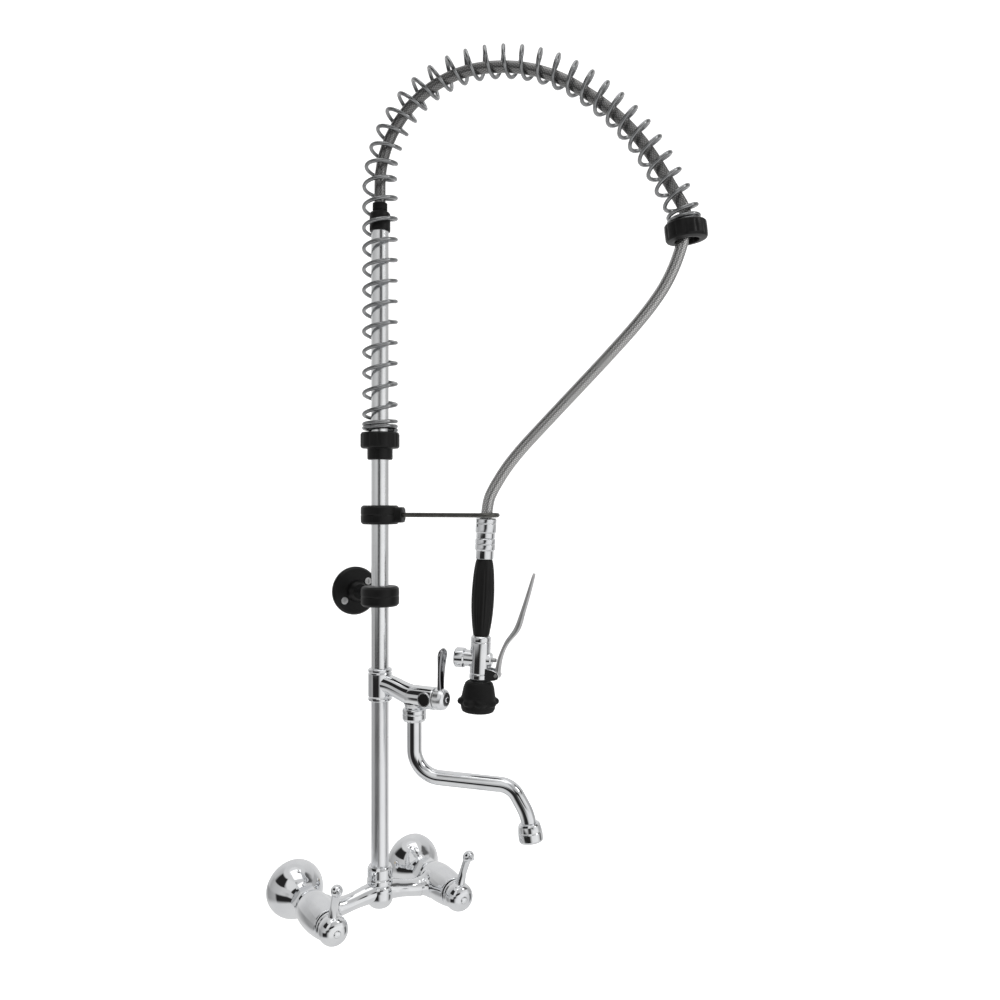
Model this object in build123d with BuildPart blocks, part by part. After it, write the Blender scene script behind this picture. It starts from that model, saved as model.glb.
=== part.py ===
from build123d import *
import os
from math import cos, sin, tan, radians, degrees, pi

os.makedirs("parts", exist_ok=True)

# ---------------------------------------------------------------- driving dimensions (mm)
# Wall plane is Y = 0, the room is towards -Y, +Z is up, the origin is midway between the two wall inlets.
INLET_PITCH = 150.0      # wall pipe spacing
VALVE_X = 81.0           # mixer valve axes, left and right of centre
AXIS_Z = -10.0           # mixer valve axes, below the wall inlets (eccentric unions)
DATUM = 0.0              # heights on the column above the mixer are counted from here
STUB_R = 10.48           # 1/2 inch pipe thread, outer radius
STUB_IN = 14.0           # length of the thread behind the wall
COL_Y = 80.0             # column axis stand-off from the wall
PIPE_R = 10.65           # 1/2 inch riser pipe, outer radius
PIPE_BORE = 8.2
RUN_FIT = 0.06           # radial running clearance
GAP = 0.3                # gap between bodies that do not touch

ARM_DIR = -45.0          # direction of the spray arm seen from above, degrees from +X
SPOUT_VALVE_DIR = -60.0  # direction of the spout valve
SPOUT_DIR = -45.0        # direction of the spout at rest

Z_TEE = DATUM + 250     # spout valve tee
Z_VALVE = DATUM + 239   # spout valve barrel
Z_BRACKET = DATUM + 356
Z_HOOK = DATUM + 455
Z_COLLAR = DATUM + 536  # underside of the spring base collar's flange
Z_PIPE_TOP = DATUM + 809

SPRING_R = 21.9          # outer radius on the column
SPRING_ARCH_R = 19.3     # outer radius on the arch
SPRING_SHELL = 0.6
HOSE_R = 6.8
SPOUT_R = 8.8
WALL_DISK_R = 31.0
SCREW_PCD = 40.0
SCREW_R = 2.25
SCREW_NECK_R = 2.0
GUN_TILT = 2.6           # the spray gun leans this much off vertical
GUN_R = 133.7            # gun axis, distance from the column at the hook

u = Vector(cos(radians(ARM_DIR)), sin(radians(ARM_DIR)), 0)
COL = Vector(0, -COL_Y, 0)


def axis_of(p):
    return Axis(p.origin, p.y_dir)


# planes whose local y runs along the axis of turned pieces
def front_plane(x, z=AXIS_Z):
    return Plane(origin=(x, 0, z), x_dir=(1, 0, 0), z_dir=(0, 0, -1))


HOT = front_plane(-VALVE_X)
COLD = front_plane(VALVE_X)
ARCH = Plane(origin=COL, x_dir=u, z_dir=(u.Y, -u.X, 0))          # x = distance from the column, y = height
COLUMN = Plane(origin=COL, x_dir=(1, 0, 0), z_dir=(0, -1, 0))    # local y = +Z
t_ = radians(GUN_TILT)
gx = u * cos(t_) - Vector(0, 0, 1) * sin(t_)
GUN = Plane(origin=COL + u * GUN_R + Vector(0, 0, Z_HOOK), x_dir=gx, z_dir=(u.Y, -u.X, 0))  # local y = up the gun
gy = GUN.y_dir
gz = GUN.z_dir
v = Vector(cos(radians(SPOUT_VALVE_DIR)), sin(radians(SPOUT_VALVE_DIR)), 0)
side = Vector(v.Y, -v.X, 0)                                       # towards the viewer's left of the spout valve
SV = Plane(origin=COL + Vector(0, 0, Z_VALVE), x_dir=side, z_dir=side.cross(v))
SWIVEL = COL + v * 50.0                                           # spout swivel axis
s = Vector(cos(radians(SPOUT_DIR)), sin(radians(SPOUT_DIR)), 0)
SPOUT = Plane(origin=SWIVEL, x_dir=s, z_dir=(s.Y, -s.X, 0))
SWIVEL_PL = Plane(origin=SWIVEL, x_dir=(1, 0, 0), z_dir=(0, -1, 0))


def save(b, name):
    b.part.label = name
    export_step(b.part, f"parts/{name}.step")
    print(f"{name:22s} solids {len(b.part.solids())} volume {b.part.volume / 1000:9.2f} cm3")


# ---------------------------------------------------------------- wall inlets and mixer
for tag, sx, PL in (("hot", -1, HOT), ("cold", 1, COLD)):
    # bell escutcheon, concentric with the union's front half
    with BuildPart() as escutcheon:
        with BuildSketch(PL):
            Polygon((33.8, 0), (35, 0), (35.2, 5), (34.4, 11), (32, 18), (28, 25), (22.5, 31), (17.6, 35), (15.2, 38.5),
                    (14.1, 38.5), (14.1, 37.6), (16.6, 34.2), (21.4, 30.2), (26.8, 24.4), (30.8, 17.6), (33.2, 10.8),
                    (34, 5), align=None)
        revolve(axis=axis_of(PL))
    save(escutcheon, f"escutcheon_{tag}")

    # eccentric union: thread in the wall, offset middle, collar for the nut
    with BuildPart() as union:
        with BuildSketch(Plane(origin=(sx * INLET_PITCH / 2, STUB_IN, 0), x_dir=(1, 0, 0), z_dir=(0, -1, 0))):
            Circle(STUB_R)
        extrude(amount=STUB_IN + 12)
        with BuildSketch(Plane(origin=(sx * (INLET_PITCH / 2 + VALVE_X) / 2, -8, AXIS_Z / 2), x_dir=(1, 0, 0), z_dir=(0, -1, 0))):
            Circle(17.2)
        extrude(amount=9)
        with BuildSketch(PL):
            Polygon((0, 12), (11, 12), (11, 41.5), (12.6, 41.5), (12.6, 44), (0, 44), align=None)
        revolve(axis=axis_of(PL))
        with BuildSketch(Plane(origin=(sx * INLET_PITCH / 2, STUB_IN + 1, 0), x_dir=(1, 0, 0), z_dir=(0, -1, 0))):
            Circle(7.2)
        extrude(amount=STUB_IN + 1 + 14.5, mode=Mode.SUBTRACT)
        with BuildSketch(PL):
            Polygon((0, 10.5), (7.2, 10.5), (7.2, 45), (0, 45), align=None)
        revolve(axis=axis_of(PL), mode=Mode.SUBTRACT)
    save(union, f"inlet_union_{tag}")

    # valve body: threaded inlet, fat tapered barrel, headwork seat at the front, outlet towards the middle
    with BuildPart() as body:
        with BuildSketch(PL):
            Polygon((0, 46), (13.1, 46), (13.1, 54.5), (16.5, 55.5), (18.6, 60), (20.6, 68), (21.4, 78), (21.2, 92),
                    (20.2, 104), (18.6, 114), (17.4, 117.5), (16, 119), (0, 119), align=None)
        revolve(axis=axis_of(PL))
        with BuildSketch(Plane(origin=(sx * VALVE_X, -COL_Y, AXIS_Z), x_dir=(0, 1, 0), z_dir=(-sx, 0, 0))):
            Circle(13.6)
        with BuildSketch(Plane(origin=(sx * (VALVE_X - 29), -COL_Y, AXIS_Z), x_dir=(0, 1, 0), z_dir=(-sx, 0, 0))):
            Circle(11.4)
        loft()
        with BuildSketch(PL):
            Polygon((0, 45), (8, 45), (8, 92), (12, 92), (12, 120), (0, 120), align=None)
        revolve(axis=axis_of(PL), mode=Mode.SUBTRACT)
        with BuildSketch(Plane(origin=(sx * VALVE_X, -COL_Y, AXIS_Z), x_dir=(0, 1, 0), z_dir=(-sx, 0, 0))):
            Circle(6.5)
        extrude(amount=30, mode=Mode.SUBTRACT)
    save(body, f"valve_body_{tag}")

    # ceramic-disc headwork
    with BuildPart() as head:
        with BuildSketch(PL):
            Polygon((4.6, 92.1), (11.95, 92.1), (11.95, 119.4), (9.4, 119.4), (9.4, 124), (4.6, 124), align=None)
        revolve(axis=axis_of(PL))
    save(head, f"headwork_{tag}")

    with BuildPart() as spindle:
        with BuildSketch(PL):
            Polygon((0, 96), (4.6 - RUN_FIT, 96), (4.6 - RUN_FIT, 127), (3.6, 127), (3.6, 137), (0, 137), align=None)
        revolve(axis=axis_of(PL))
    save(spindle, f"spindle_{tag}")

    # lever: domed hub, tapering arm with a ball end
    p0 = Vector(sx * VALVE_X, -131, AXIS_Z + 9)
    lean = 7.0 if sx > 0 else 0.0                                  # the cold lever rests a little off upright
    p1 = Vector(sx * VALVE_X + lean, -143, AXIS_Z + (51 if sx > 0 else 48))
    d = (p1 - p0).normalized()
    with BuildPart() as lever:
        with BuildSketch(PL):
            Polygon((10, 121.2), (16.2, 121.2), (17, 122.6), (17, 124.6), (15.2, 125.6), (16.6, 127), (17, 131), (16.2, 137),
                    (13.6, 141.4), (9, 144), (4.2, 144.8), (4.2, 141.5), (2.1, 141.5), (2.1, 137.5), (3.6, 137.5), (3.6, 127.1), (10, 127.1),
                    align=None)
        revolve(axis=axis_of(PL))
        with BuildSketch(Plane(origin=p0, x_dir=(1, 0, 0), z_dir=d)):
            Circle(6.6)
        with BuildSketch(Plane(origin=p0 + d * 20, x_dir=(1, 0, 0), z_dir=d)):
            Circle(4.6)
        with BuildSketch(Plane(origin=p1, x_dir=(1, 0, 0), z_dir=d)):
            Circle(4.4)
        loft(ruled=True)
        with Locations(p1):
            Sphere(6.8)
        with BuildSketch(Plane(origin=p1 + Vector(0, -4, 0.5), x_dir=(1, 0, 0), z_dir=(0, -1, 0))):
            Circle(3.6)
        extrude(amount=7.5, taper=12)
        with BuildSketch(PL):
            Polygon((0, 120), (3.6, 120), (3.6, 137.5), (2.1, 137.5), (2.1, 141.5), (4.2, 141.5), (4.2, 146), (0, 146), align=None)
        revolve(axis=axis_of(PL), mode=Mode.SUBTRACT)
    save(lever, f"lever_{tag}")

    with BuildPart() as cap:
        with BuildSketch(PL):
            Polygon((0, 137.1), (2.05, 137.1), (2.05, 141.6), (4.1, 141.6), (4.1, 145), (3.2, 145.9), (0, 146.2), align=None)
        revolve(axis=axis_of(PL))
    save(cap, f"lever_screw_{tag}")

with BuildPart() as inlet_gaskets:
    for PL in (HOT, COLD):
        with BuildSketch(PL):
            Polygon((7.6, 44.02), (12.4, 44.02), (12.4, 45.98), (7.6, 45.98), align=None)
        revolve(axis=axis_of(PL))
save(inlet_gaskets, "inlet_gaskets")

with BuildPart() as union_nuts:
    for PL in (HOT, COLD):
        with BuildSketch(Plane(origin=PL.origin + Vector(0, -39.3, 0), x_dir=(1, 0, 0), z_dir=(0, -1, 0))):
            RegularPolygon(17.4, 6)
        extrude(amount=14.5)
        with BuildSketch(PL):
            Polygon((0, 38), (11.1, 38), (11.1, 41.3), (13.15, 41.3), (13.15, 55), (0, 55), align=None)
        revolve(axis=axis_of(PL), mode=Mode.SUBTRACT)
        with BuildSketch(PL):
            Polygon((15.4, 38), (20, 38), (20, 55), (15.4, 55), (17.6, 52.4), (17.6, 40.7), align=None)
        revolve(axis=axis_of(PL), mode=Mode.SUBTRACT)
save(union_nuts, "union_nuts")

# yoke: two curved arms meeting under the column
with BuildPart() as mixer_yoke:
    for sx in (-1, 1):
        with BuildLine() as arm_path:
            Spline((sx * (VALVE_X - 29), -COL_Y, AXIS_Z), (sx * 26, -COL_Y, AXIS_Z + 3.2), (sx * 2, -COL_Y, AXIS_Z + 7),
                   tangents=((-sx, 0, 0), (-sx, 0, 0.1)))
        with BuildSketch(Plane(origin=(sx * (VALVE_X - 29), -COL_Y, AXIS_Z), x_dir=(0, 1, 0), z_dir=(-sx, 0, 0))):
            Circle(10.6)
        sweep(path=arm_path.line)
    with BuildSketch(COLUMN):
        Polygon((0, AXIS_Z - 13), (8, AXIS_Z - 12.4), (13, AXIS_Z - 9), (15.6, AXIS_Z - 3), (16, AXIS_Z + 6), (14.6, AXIS_Z + 13),
                (12.6, AXIS_Z + 15.4), (12.6, AXIS_Z + 26), (0, AXIS_Z + 26), align=None)
    revolve(axis=axis_of(COLUMN))
    with BuildSketch(Plane(origin=(0, -COL_Y, AXIS_Z), x_dir=(1, 0, 0), z_dir=(0, 0, 1))):
        Circle(6.5)
    extrude(amount=40, mode=Mode.SUBTRACT)
    with BuildSketch(Plane(origin=(-VALVE_X + 25, -COL_Y, AXIS_Z), x_dir=(0, 1, 0), z_dir=(1, 0, 0))):
        Circle(6.0)
    extrude(amount=2 * VALVE_X - 50, mode=Mode.SUBTRACT)
save(mixer_yoke, "mixer_yoke")

with BuildPart() as column_gasket:
    with BuildSketch(COLUMN):
        Polygon((7, AXIS_Z + 26.02), (12.3, AXIS_Z + 26.02), (12.3, AXIS_Z + 27.98), (7, AXIS_Z + 27.98), align=None)
    revolve(axis=axis_of(COLUMN))
save(column_gasket, "column_gasket")

with BuildPart() as column_nut:
    with BuildSketch(COLUMN):
        Polygon((12.65, AXIS_Z + 16), (15, AXIS_Z + 16), (15.8, AXIS_Z + 17.4), (15.8, AXIS_Z + 23), (15, AXIS_Z + 24), (15, AXIS_Z + 36),
                (13.6, AXIS_Z + 38.5), (10.72, AXIS_Z + 38.5), (10.72, AXIS_Z + 31.6), (12.65, AXIS_Z + 31.6), align=None)
    revolve(axis=axis_of(COLUMN))
save(column_nut, "column_nut")

with BuildPart() as riser_lower:
    with BuildSketch(COLUMN):
        Polygon((PIPE_BORE, AXIS_Z + 28), (12.5, AXIS_Z + 28), (12.5, AXIS_Z + 31.5), (PIPE_R, AXIS_Z + 31.5), (PIPE_R, Z_TEE - 9),
                (PIPE_BORE, Z_TEE - 9), align=None)
    revolve(axis=axis_of(COLUMN))
save(riser_lower, "riser_lower")

with BuildPart() as riser_upper:
    with BuildSketch(COLUMN):
        Polygon((PIPE_BORE, Z_TEE + 8), (PIPE_R, Z_TEE + 8), (PIPE_R, Z_PIPE_TOP), (PIPE_BORE, Z_PIPE_TOP), align=None)
    revolve(axis=axis_of(COLUMN))
save(riser_upper, "riser_upper")

# ---------------------------------------------------------------- spout valve
TEE_PL = Plane(origin=COL + v * 6 + Vector(0, 0, Z_TEE), x_dir=side, z_dir=v)
BARREL_PL = Plane(origin=COL + v * 54 + Vector(0, 0, Z_VALVE), x_dir=side, z_dir=v)
with BuildPart() as spout_valve_body:
    with BuildSketch(COLUMN):
        Polygon((0, Z_TEE - 21), (13.2, Z_TEE - 21), (14.6, Z_TEE - 19.4), (14.6, Z_TEE + 16.4), (13.2, Z_TEE + 18), (0, Z_TEE + 18), align=None)
    revolve(axis=axis_of(COLUMN))
    with BuildSketch(TEE_PL):
        Circle(12.2)
    with BuildSketch(BARREL_PL):
        Circle(13.4)
    loft()
    with BuildSketch(SV):
        Polygon((0, 40), (12.4, 40), (13.4, 46), (13.4, 79), (12.6, 80.6), (0, 80.6), align=None)
    revolve(axis=axis_of(SV))
    with BuildSketch(SWIVEL_PL):
        Polygon((0, Z_VALVE - 24.6), (10.9, Z_VALVE - 24.6), (10.9, Z_VALVE - 14), (12, Z_VALVE - 10), (12, Z_VALVE), (0, Z_VALVE), align=None)
    revolve(axis=axis_of(SWIVEL_PL))
    with BuildSketch(COLUMN):
        Polygon((0, Z_TEE - 22), (PIPE_R + 0.02, Z_TEE - 22), (PIPE_R + 0.02, Z_TEE - 9), (7.8, Z_TEE - 9), (7.8, Z_TEE + 8),
                (PIPE_R + 0.02, Z_TEE + 8), (PIPE_R + 0.02, Z_TEE + 19), (0, Z_TEE + 19), align=None)
    revolve(axis=axis_of(COLUMN), mode=Mode.SUBTRACT)
    with BuildSketch(SV):
        Polygon((0, 5), (4.5, 5), (4.5, 54), (7.4, 54), (7.4, 60), (9.4, 60), (9.4, 82), (0, 82), align=None)
    revolve(axis=axis_of(SV), mode=Mode.SUBTRACT)
    with BuildSketch(SWIVEL_PL):
        Polygon((0, Z_VALVE - 27), (9.1, Z_VALVE - 27), (9.1, Z_VALVE - 16), (6, Z_VALVE - 16), (6, Z_VALVE - 2), (0, Z_VALVE - 2), align=None)
    revolve(axis=axis_of(SWIVEL_PL), mode=Mode.SUBTRACT)
    with BuildSketch(Plane(origin=COL + v * 71.5 + Vector(0, 0, Z_VALVE), x_dir=v, z_dir=side)):
        Circle(7.3)
    extrude(amount=20, mode=Mode.SUBTRACT)
    with BuildSketch(Plane(origin=COL + v * 71.5 + Vector(0, 0, Z_VALVE), x_dir=v, z_dir=side)):
        Circle(8.6)
        Circle(7.06, mode=Mode.SUBTRACT)
    extrude(amount=13.0)
    with BuildSketch(SV):
        Polygon((0, 60), (9.4, 60), (9.4, 82), (0, 82), align=None)
    revolve(axis=axis_of(SV), mode=Mode.SUBTRACT)
save(spout_valve_body, "spout_valve_body")

with BuildPart() as spout_index_plug:
    with BuildSketch(Plane(origin=COL + v * 71.5 + side * 9.7 + Vector(0, 0, Z_VALVE), x_dir=v, z_dir=side)):
        Circle(7.0)
    extrude(amount=4.0)
    fillet(spout_index_plug.edges().filter_by(GeomType.CIRCLE).sort_by(Axis((0, 0, 0), side))[-1], 0.8)
save(spout_index_plug, "spout_index_plug")

with BuildPart() as spout_headwork:
    with BuildSketch(SV):
        Polygon((4.06, 60.1), (9.35, 60.1), (9.35, 81), (8.2, 81), (8.2, 83.6), (4.06, 83.6), align=None)
    revolve(axis=axis_of(SV))
save(spout_headwork, "spout_headwork")

with BuildPart() as spout_spindle:
    with BuildSketch(SV):
        Polygon((0, 62), (4, 62), (4, 85), (3.2, 85), (3.2, 92), (0, 92), align=None)
    revolve(axis=axis_of(SV))
save(spout_spindle, "spout_spindle")

# lever with a flat blade that widens to its top
with BuildPart() as spout_lever:
    with BuildSketch(SV):
        Polygon((8.9, 81.2), (12.2, 81.2), (12.8, 82.2), (12.8, 90), (11.4, 93.4), (8, 95.2), (3.4, 95.6), (3.4, 92.6), (1.7, 92.6), (1.7, 92.2),
                (3.2, 92.2), (3.2, 85.1), (8.9, 85.1), align=None)
    revolve(axis=axis_of(SV))
    for h0, h1, w0, w1, t0, t1, s0, s1 in ((8, 30, 5.0, 5.2, 3.0, 2.4, 87.2, 87.8), (30, 60, 5.2, 8.6, 2.4, 3.6, 87.8, 89.6)):
        with BuildSketch(Plane(origin=COL + v * s0 + Vector(0, 0, Z_VALVE + h0), x_dir=side, z_dir=(0, 0, 1))):
            RectangleRounded(2 * w0, 2 * t0, t0 * 0.85)
        with BuildSketch(Plane(origin=COL + v * s1 + Vector(0, 0, Z_VALVE + h1), x_dir=side, z_dir=(0, 0, 1))):
            RectangleRounded(2 * w1, 2 * t1, t1 * 0.85)
        loft()
    with BuildSketch(SV):
        Polygon((0, 80), (3.2, 80), (3.2, 92.2), (1.7, 92.2), (1.7, 92.6), (3.4, 92.6), (3.4, 97), (0, 97), align=None)
    revolve(axis=axis_of(SV), mode=Mode.SUBTRACT)
save(spout_lever, "spout_lever")

with BuildPart() as spout_lever_screw:
    with BuildSketch(SV):
        Polygon((0, 92.05), (1.65, 92.05), (1.65, 92.65), (3.3, 92.65), (3.3, 95.6), (2.6, 96.3), (0, 96.6), align=None)
    revolve(axis=axis_of(SV))
save(spout_lever_screw, "spout_lever_screw")

# ---------------------------------------------------------------- spout
Z_NUT = Z_VALVE - 14.4
with BuildPart() as spout_nut:
    with BuildSketch(SWIVEL_PL):
        Polygon((10.95, Z_NUT), (13.6, Z_NUT), (14.4, Z_NUT - 1.5), (14.4, Z_NUT - 12), (12.8, Z_NUT - 15), (SPOUT_R + RUN_FIT, Z_NUT - 15),
                (SPOUT_R + RUN_FIT, Z_NUT - 12), (10.95, Z_NUT - 12), align=None)
    revolve(axis=axis_of(SWIVEL_PL))
save(spout_nut, "spout_nut")

pts = [(0, Z_VALVE - 17), (0, DATUM + 145), (119, DATUM + 140.5), (137.8, DATUM + 108), (141, DATUM + 87)]
radii = [32, 24, 60]
with BuildPart() as spout_tube:
    with BuildLine(SPOUT) as spout_path:
        FilletPolyline(*pts, radius=radii)
    with BuildSketch(Plane(origin=SWIVEL + Vector(0, 0, Z_VALVE - 17), x_dir=s, z_dir=(0, 0, -1))):
        Circle(SPOUT_R)
        Circle(SPOUT_R - 1.2, mode=Mode.SUBTRACT)
    sweep(path=spout_path.line)
    with BuildSketch(SWIVEL_PL):
        Polygon((SPOUT_R - 0.5, Z_NUT - 11.2), (10.6, Z_NUT - 11.2), (10.6, Z_NUT - 11.95), (SPOUT_R - 0.5, Z_NUT - 11.95), align=None)
    revolve(axis=axis_of(SWIVEL_PL))
save(spout_tube, "spout_tube")

e_dir = (s * 3.2 + Vector(0, 0, -21)).normalized()
tip = SWIVEL + s * 141 + Vector(0, 0, DATUM + 87)
AER = Plane(origin=tip, x_dir=SPOUT.z_dir.cross(e_dir) * -1, z_dir=(SPOUT.z_dir.cross(e_dir) * -1).cross(e_dir))  # local y = out of the spout
with BuildPart() as aerator_collar:
    with BuildSketch(AER):
        Polygon((8.85, -12), (11.6, -12), (13.2, -9.6), (14.2, -3), (14.4, 7), (13.6, 9), (11, 9), (11, 1.2), (8.85, 1.2), align=None)
    revolve(axis=axis_of(AER))
save(aerator_collar, "aerator_collar")

with BuildPart() as aerator_insert:
    with BuildSketch(AER):
        Polygon((0, 1.4), (10.9, 1.4), (10.9, 8), (9.6, 8), (9.6, 6.6), (0, 6.6), align=None)
    revolve(axis=axis_of(AER))
    with BuildSketch(Plane(origin=tip + e_dir * 6.6, x_dir=AER.x_dir, z_dir=e_dir)):
        with PolarLocations(5.6, 8):
            Circle(1.1)
        with PolarLocations(2.4, 3):
            Circle(1.0)
    extrude(amount=-3.0, mode=Mode.SUBTRACT)
save(aerator_insert, "aerator_insert")

# ---------------------------------------------------------------- wall bracket
with BuildPart() as wall_clamp:
    with BuildSketch(COLUMN):
        Polygon((PIPE_R + 0.02, Z_BRACKET - 12), (21, Z_BRACKET - 12), (23, Z_BRACKET - 10), (23.4, Z_BRACKET), (23, Z_BRACKET + 10),
                (21, Z_BRACKET + 12), (PIPE_R + 0.02, Z_BRACKET + 12), align=None)
    revolve(axis=axis_of(COLUMN))
    with BuildSketch(Plane(origin=(0, -COL_Y + 17, Z_BRACKET), x_dir=(1, 0, 0), z_dir=(0, 1, 0))):
        Circle(9.5)
    extrude(amount=12)
    with BuildSketch(Plane(origin=(0, -COL_Y + 15, Z_BRACKET), x_dir=(1, 0, 0), z_dir=(0, 1, 0))):
        Circle(5.03)
    extrude(amount=20, mode=Mode.SUBTRACT)
save(wall_clamp, "wall_clamp")

with BuildPart() as wall_rod:
    with BuildSketch(Plane(origin=(0, -COL_Y + 15.2, Z_BRACKET), x_dir=(1, 0, 0), z_dir=(0, 1, 0))):
        Circle(5.0)
    extrude(amount=COL_Y - 15.2 - 6)
save(wall_rod, "wall_rod")

FLANGE = front_plane(0, Z_BRACKET)
with BuildPart() as wall_flange:
    with BuildSketch(FLANGE):
        Polygon((0, 0), (WALL_DISK_R - 0.6, 0), (WALL_DISK_R, 1), (WALL_DISK_R, 4.2), (28.6, 7), (14, 8.6), (12.6, 14), (9.6, 20),
                (0, 20), align=None)
    revolve(axis=axis_of(FLANGE))
    with BuildSketch(FLANGE):
        Polygon((0, 5.8), (5.02, 5.8), (5.02, 21), (0, 21), align=None)
    revolve(axis=axis_of(FLANGE), mode=Mode.SUBTRACT)
    for a in (36, 216):
        q = Vector(SCREW_PCD / 2 * cos(radians(a)), 0, Z_BRACKET + SCREW_PCD / 2 * sin(radians(a)))
        QP = Plane(origin=q, x_dir=(1, 0, 0), z_dir=(0, 0, -1))
        with BuildSketch(QP):
            Polygon((0, -1), (2.4, -1), (2.4, 5.2), (4.9, 7.7), (4.9, 12), (0, 12), align=None)
        revolve(axis=axis_of(QP), mode=Mode.SUBTRACT)
save(wall_flange, "wall_flange")

with BuildPart() as wall_screws:
    for a in (36, 216):
        q = Vector(SCREW_PCD / 2 * cos(radians(a)), 0, Z_BRACKET + SCREW_PCD / 2 * sin(radians(a)))
        QP = Plane(origin=q, x_dir=(1, 0, 0), z_dir=(0, 0, -1))
        with BuildSketch(QP):
            Polygon((0, -32), (SCREW_R, -28), (SCREW_R, 0.05), (SCREW_NECK_R, 0.05), (SCREW_NECK_R, 5.0), (4.7, 7.7), (4.3, 8.1), (0, 8.3), align=None)
        revolve(axis=axis_of(QP))
        with BuildSketch(Plane(origin=q + Vector(0, -8.4, 0), x_dir=(1, 0, 0), z_dir=(0, 1, 0))):
            Rectangle(5, 1)
            Rectangle(1, 5)
        extrude(amount=2.2, mode=Mode.SUBTRACT)
save(wall_screws, "wall_screws")

# ---------------------------------------------------------------- top union, spring, hose
with BuildPart() as pipe_top_union:
    with BuildSketch(COLUMN):
        Polygon((8.2, Z_PIPE_TOP + 0.1), (PIPE_R + 0.05, Z_PIPE_TOP + 0.1), (PIPE_R + 0.05, Z_PIPE_TOP - 9), (12.2, Z_PIPE_TOP - 9),
                (12.6, Z_PIPE_TOP - 7), (12.6, Z_PIPE_TOP + 12), (11.4, Z_PIPE_TOP + 14), (8.2, Z_PIPE_TOP + 14), align=None)
    revolve(axis=axis_of(COLUMN))
save(pipe_top_union, "pipe_top_union")

with BuildPart() as hose_crimp:
    with BuildSketch(COLUMN):
        Polygon((4.5, Z_PIPE_TOP + 2), (8.1, Z_PIPE_TOP + 2), (8.1, Z_PIPE_TOP + 17), (9, Z_PIPE_TOP + 17), (9, Z_PIPE_TOP + 25),
                (HOSE_R + 0.05, Z_PIPE_TOP + 25), (HOSE_R + 0.05, Z_PIPE_TOP + 19), (4.5, Z_PIPE_TOP + 19), align=None)
    revolve(axis=axis_of(COLUMN))
save(hose_crimp, "hose_crimp")

with BuildPart() as spring_base_collar:
    with BuildSketch(COLUMN):
        Polygon((PIPE_R + RUN_FIT, Z_COLLAR - 14), (14.6, Z_COLLAR - 14), (15.4, Z_COLLAR - 13), (15.4, Z_COLLAR), (22.6, Z_COLLAR), (23.8, Z_COLLAR + 1.6),
                (23.8, Z_COLLAR + 17.6), (22.4, Z_COLLAR + 19.4), (18, Z_COLLAR + 19.4), (18, Z_COLLAR + 13), (PIPE_R + RUN_FIT, Z_COLLAR + 13), align=None)
    revolve(axis=axis_of(COLUMN))
    with BuildSketch(Plane.XY.offset(Z_COLLAR + 1)):
        with Locations((0, -COL_Y)):
            with PolarLocations(24.6, 12):
                Circle(1.6)
    extrude(amount=17, mode=Mode.SUBTRACT)
save(spring_base_collar, "spring_base_collar")

Z_ARCH = DATUM + 992
SP = [(0, DATUM + 850), (0, Z_ARCH), (196.8, Z_ARCH), (308.8, DATUM + 910.6), (361.5, DATUM + 802.6), (364.4, DATUM + 781.6)]
SP_R = [134, 188, 300, 58]
with BuildPart() as arch_spring:
    with BuildSketch(COLUMN):
        Polygon((SPRING_R - SPRING_SHELL, Z_COLLAR + 19.6), (SPRING_R, Z_COLLAR + 19.6), (SPRING_R, DATUM + 830), (SPRING_ARCH_R, DATUM + 850),
                (SPRING_ARCH_R - SPRING_SHELL, DATUM + 850), (SPRING_R - SPRING_SHELL, DATUM + 830), align=None)
    revolve(axis=axis_of(COLUMN))
    with BuildLine(ARCH) as spring_path:
        FilletPolyline(*SP, radius=SP_R)
    with BuildSketch(Plane(origin=COL + Vector(0, 0, DATUM + 850), x_dir=(1, 0, 0), z_dir=(0, 0, 1))):
        Circle(SPRING_ARCH_R)
        Circle(SPRING_ARCH_R - SPRING_SHELL, mode=Mode.SUBTRACT)
    sweep(path=spring_path.line)
save(arch_spring, "arch_spring")
print("spring path length", spring_path.wires()[0].length)

HU = [(0, Z_PIPE_TOP + 19.1), (0, DATUM + 986), (194.8, DATUM + 986), (304.1, DATUM + 906.6), (366.53, DATUM + 798), (365.31, DATUM + 784.1)]
HU_R = [130, 188, 290, 38]
with BuildPart() as hose_upper:
    with BuildLine(ARCH) as hose_path:
        FilletPolyline(*HU, radius=HU_R)
    with BuildSketch(Plane(origin=COL + Vector(0, 0, HU[0][1]), x_dir=(1, 0, 0), z_dir=(0, 0, 1))):
        Circle(HOSE_R)
    sweep(path=hose_path.line)
save(hose_upper, "hose_upper")

# end collar, tilted like the spring's end, with a wide mouth for the hose
ec = radians(6.0)
ec_dir = u * sin(ec) - Vector(0, 0, 1) * cos(ec)
EC_TOP = COL + u * 365.2 + Vector(0, 0, DATUM + 779.6)
ec_n = Vector(u.Y, -u.X, 0)
EC = Plane(origin=EC_TOP, x_dir=ec_dir.cross(ec_n), z_dir=ec_n)
if EC.y_dir.dot(ec_dir) < 0:
    EC = Plane(origin=EC_TOP, x_dir=ec_dir.cross(ec_n) * -1, z_dir=ec_n)
sg = 1 if EC.y_dir.dot(ec_dir) > 0 else -1
with BuildPart() as spring_end_collar:
    with BuildSketch(EC):
        Polygon((19.6, -6 * sg), (22.2, -6 * sg), (23.8, -4.4 * sg), (24, 10.8 * sg), (22.6, 13.4 * sg), (17, 14.6 * sg), (13.8, 14.6 * sg), (13.4, 9 * sg),
                (10.8, 4 * sg), (10.8, 0.6 * sg), (19.6, 0.6 * sg), align=None)
    revolve(axis=axis_of(EC))
save(spring_end_collar, "spring_end_collar")

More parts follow.
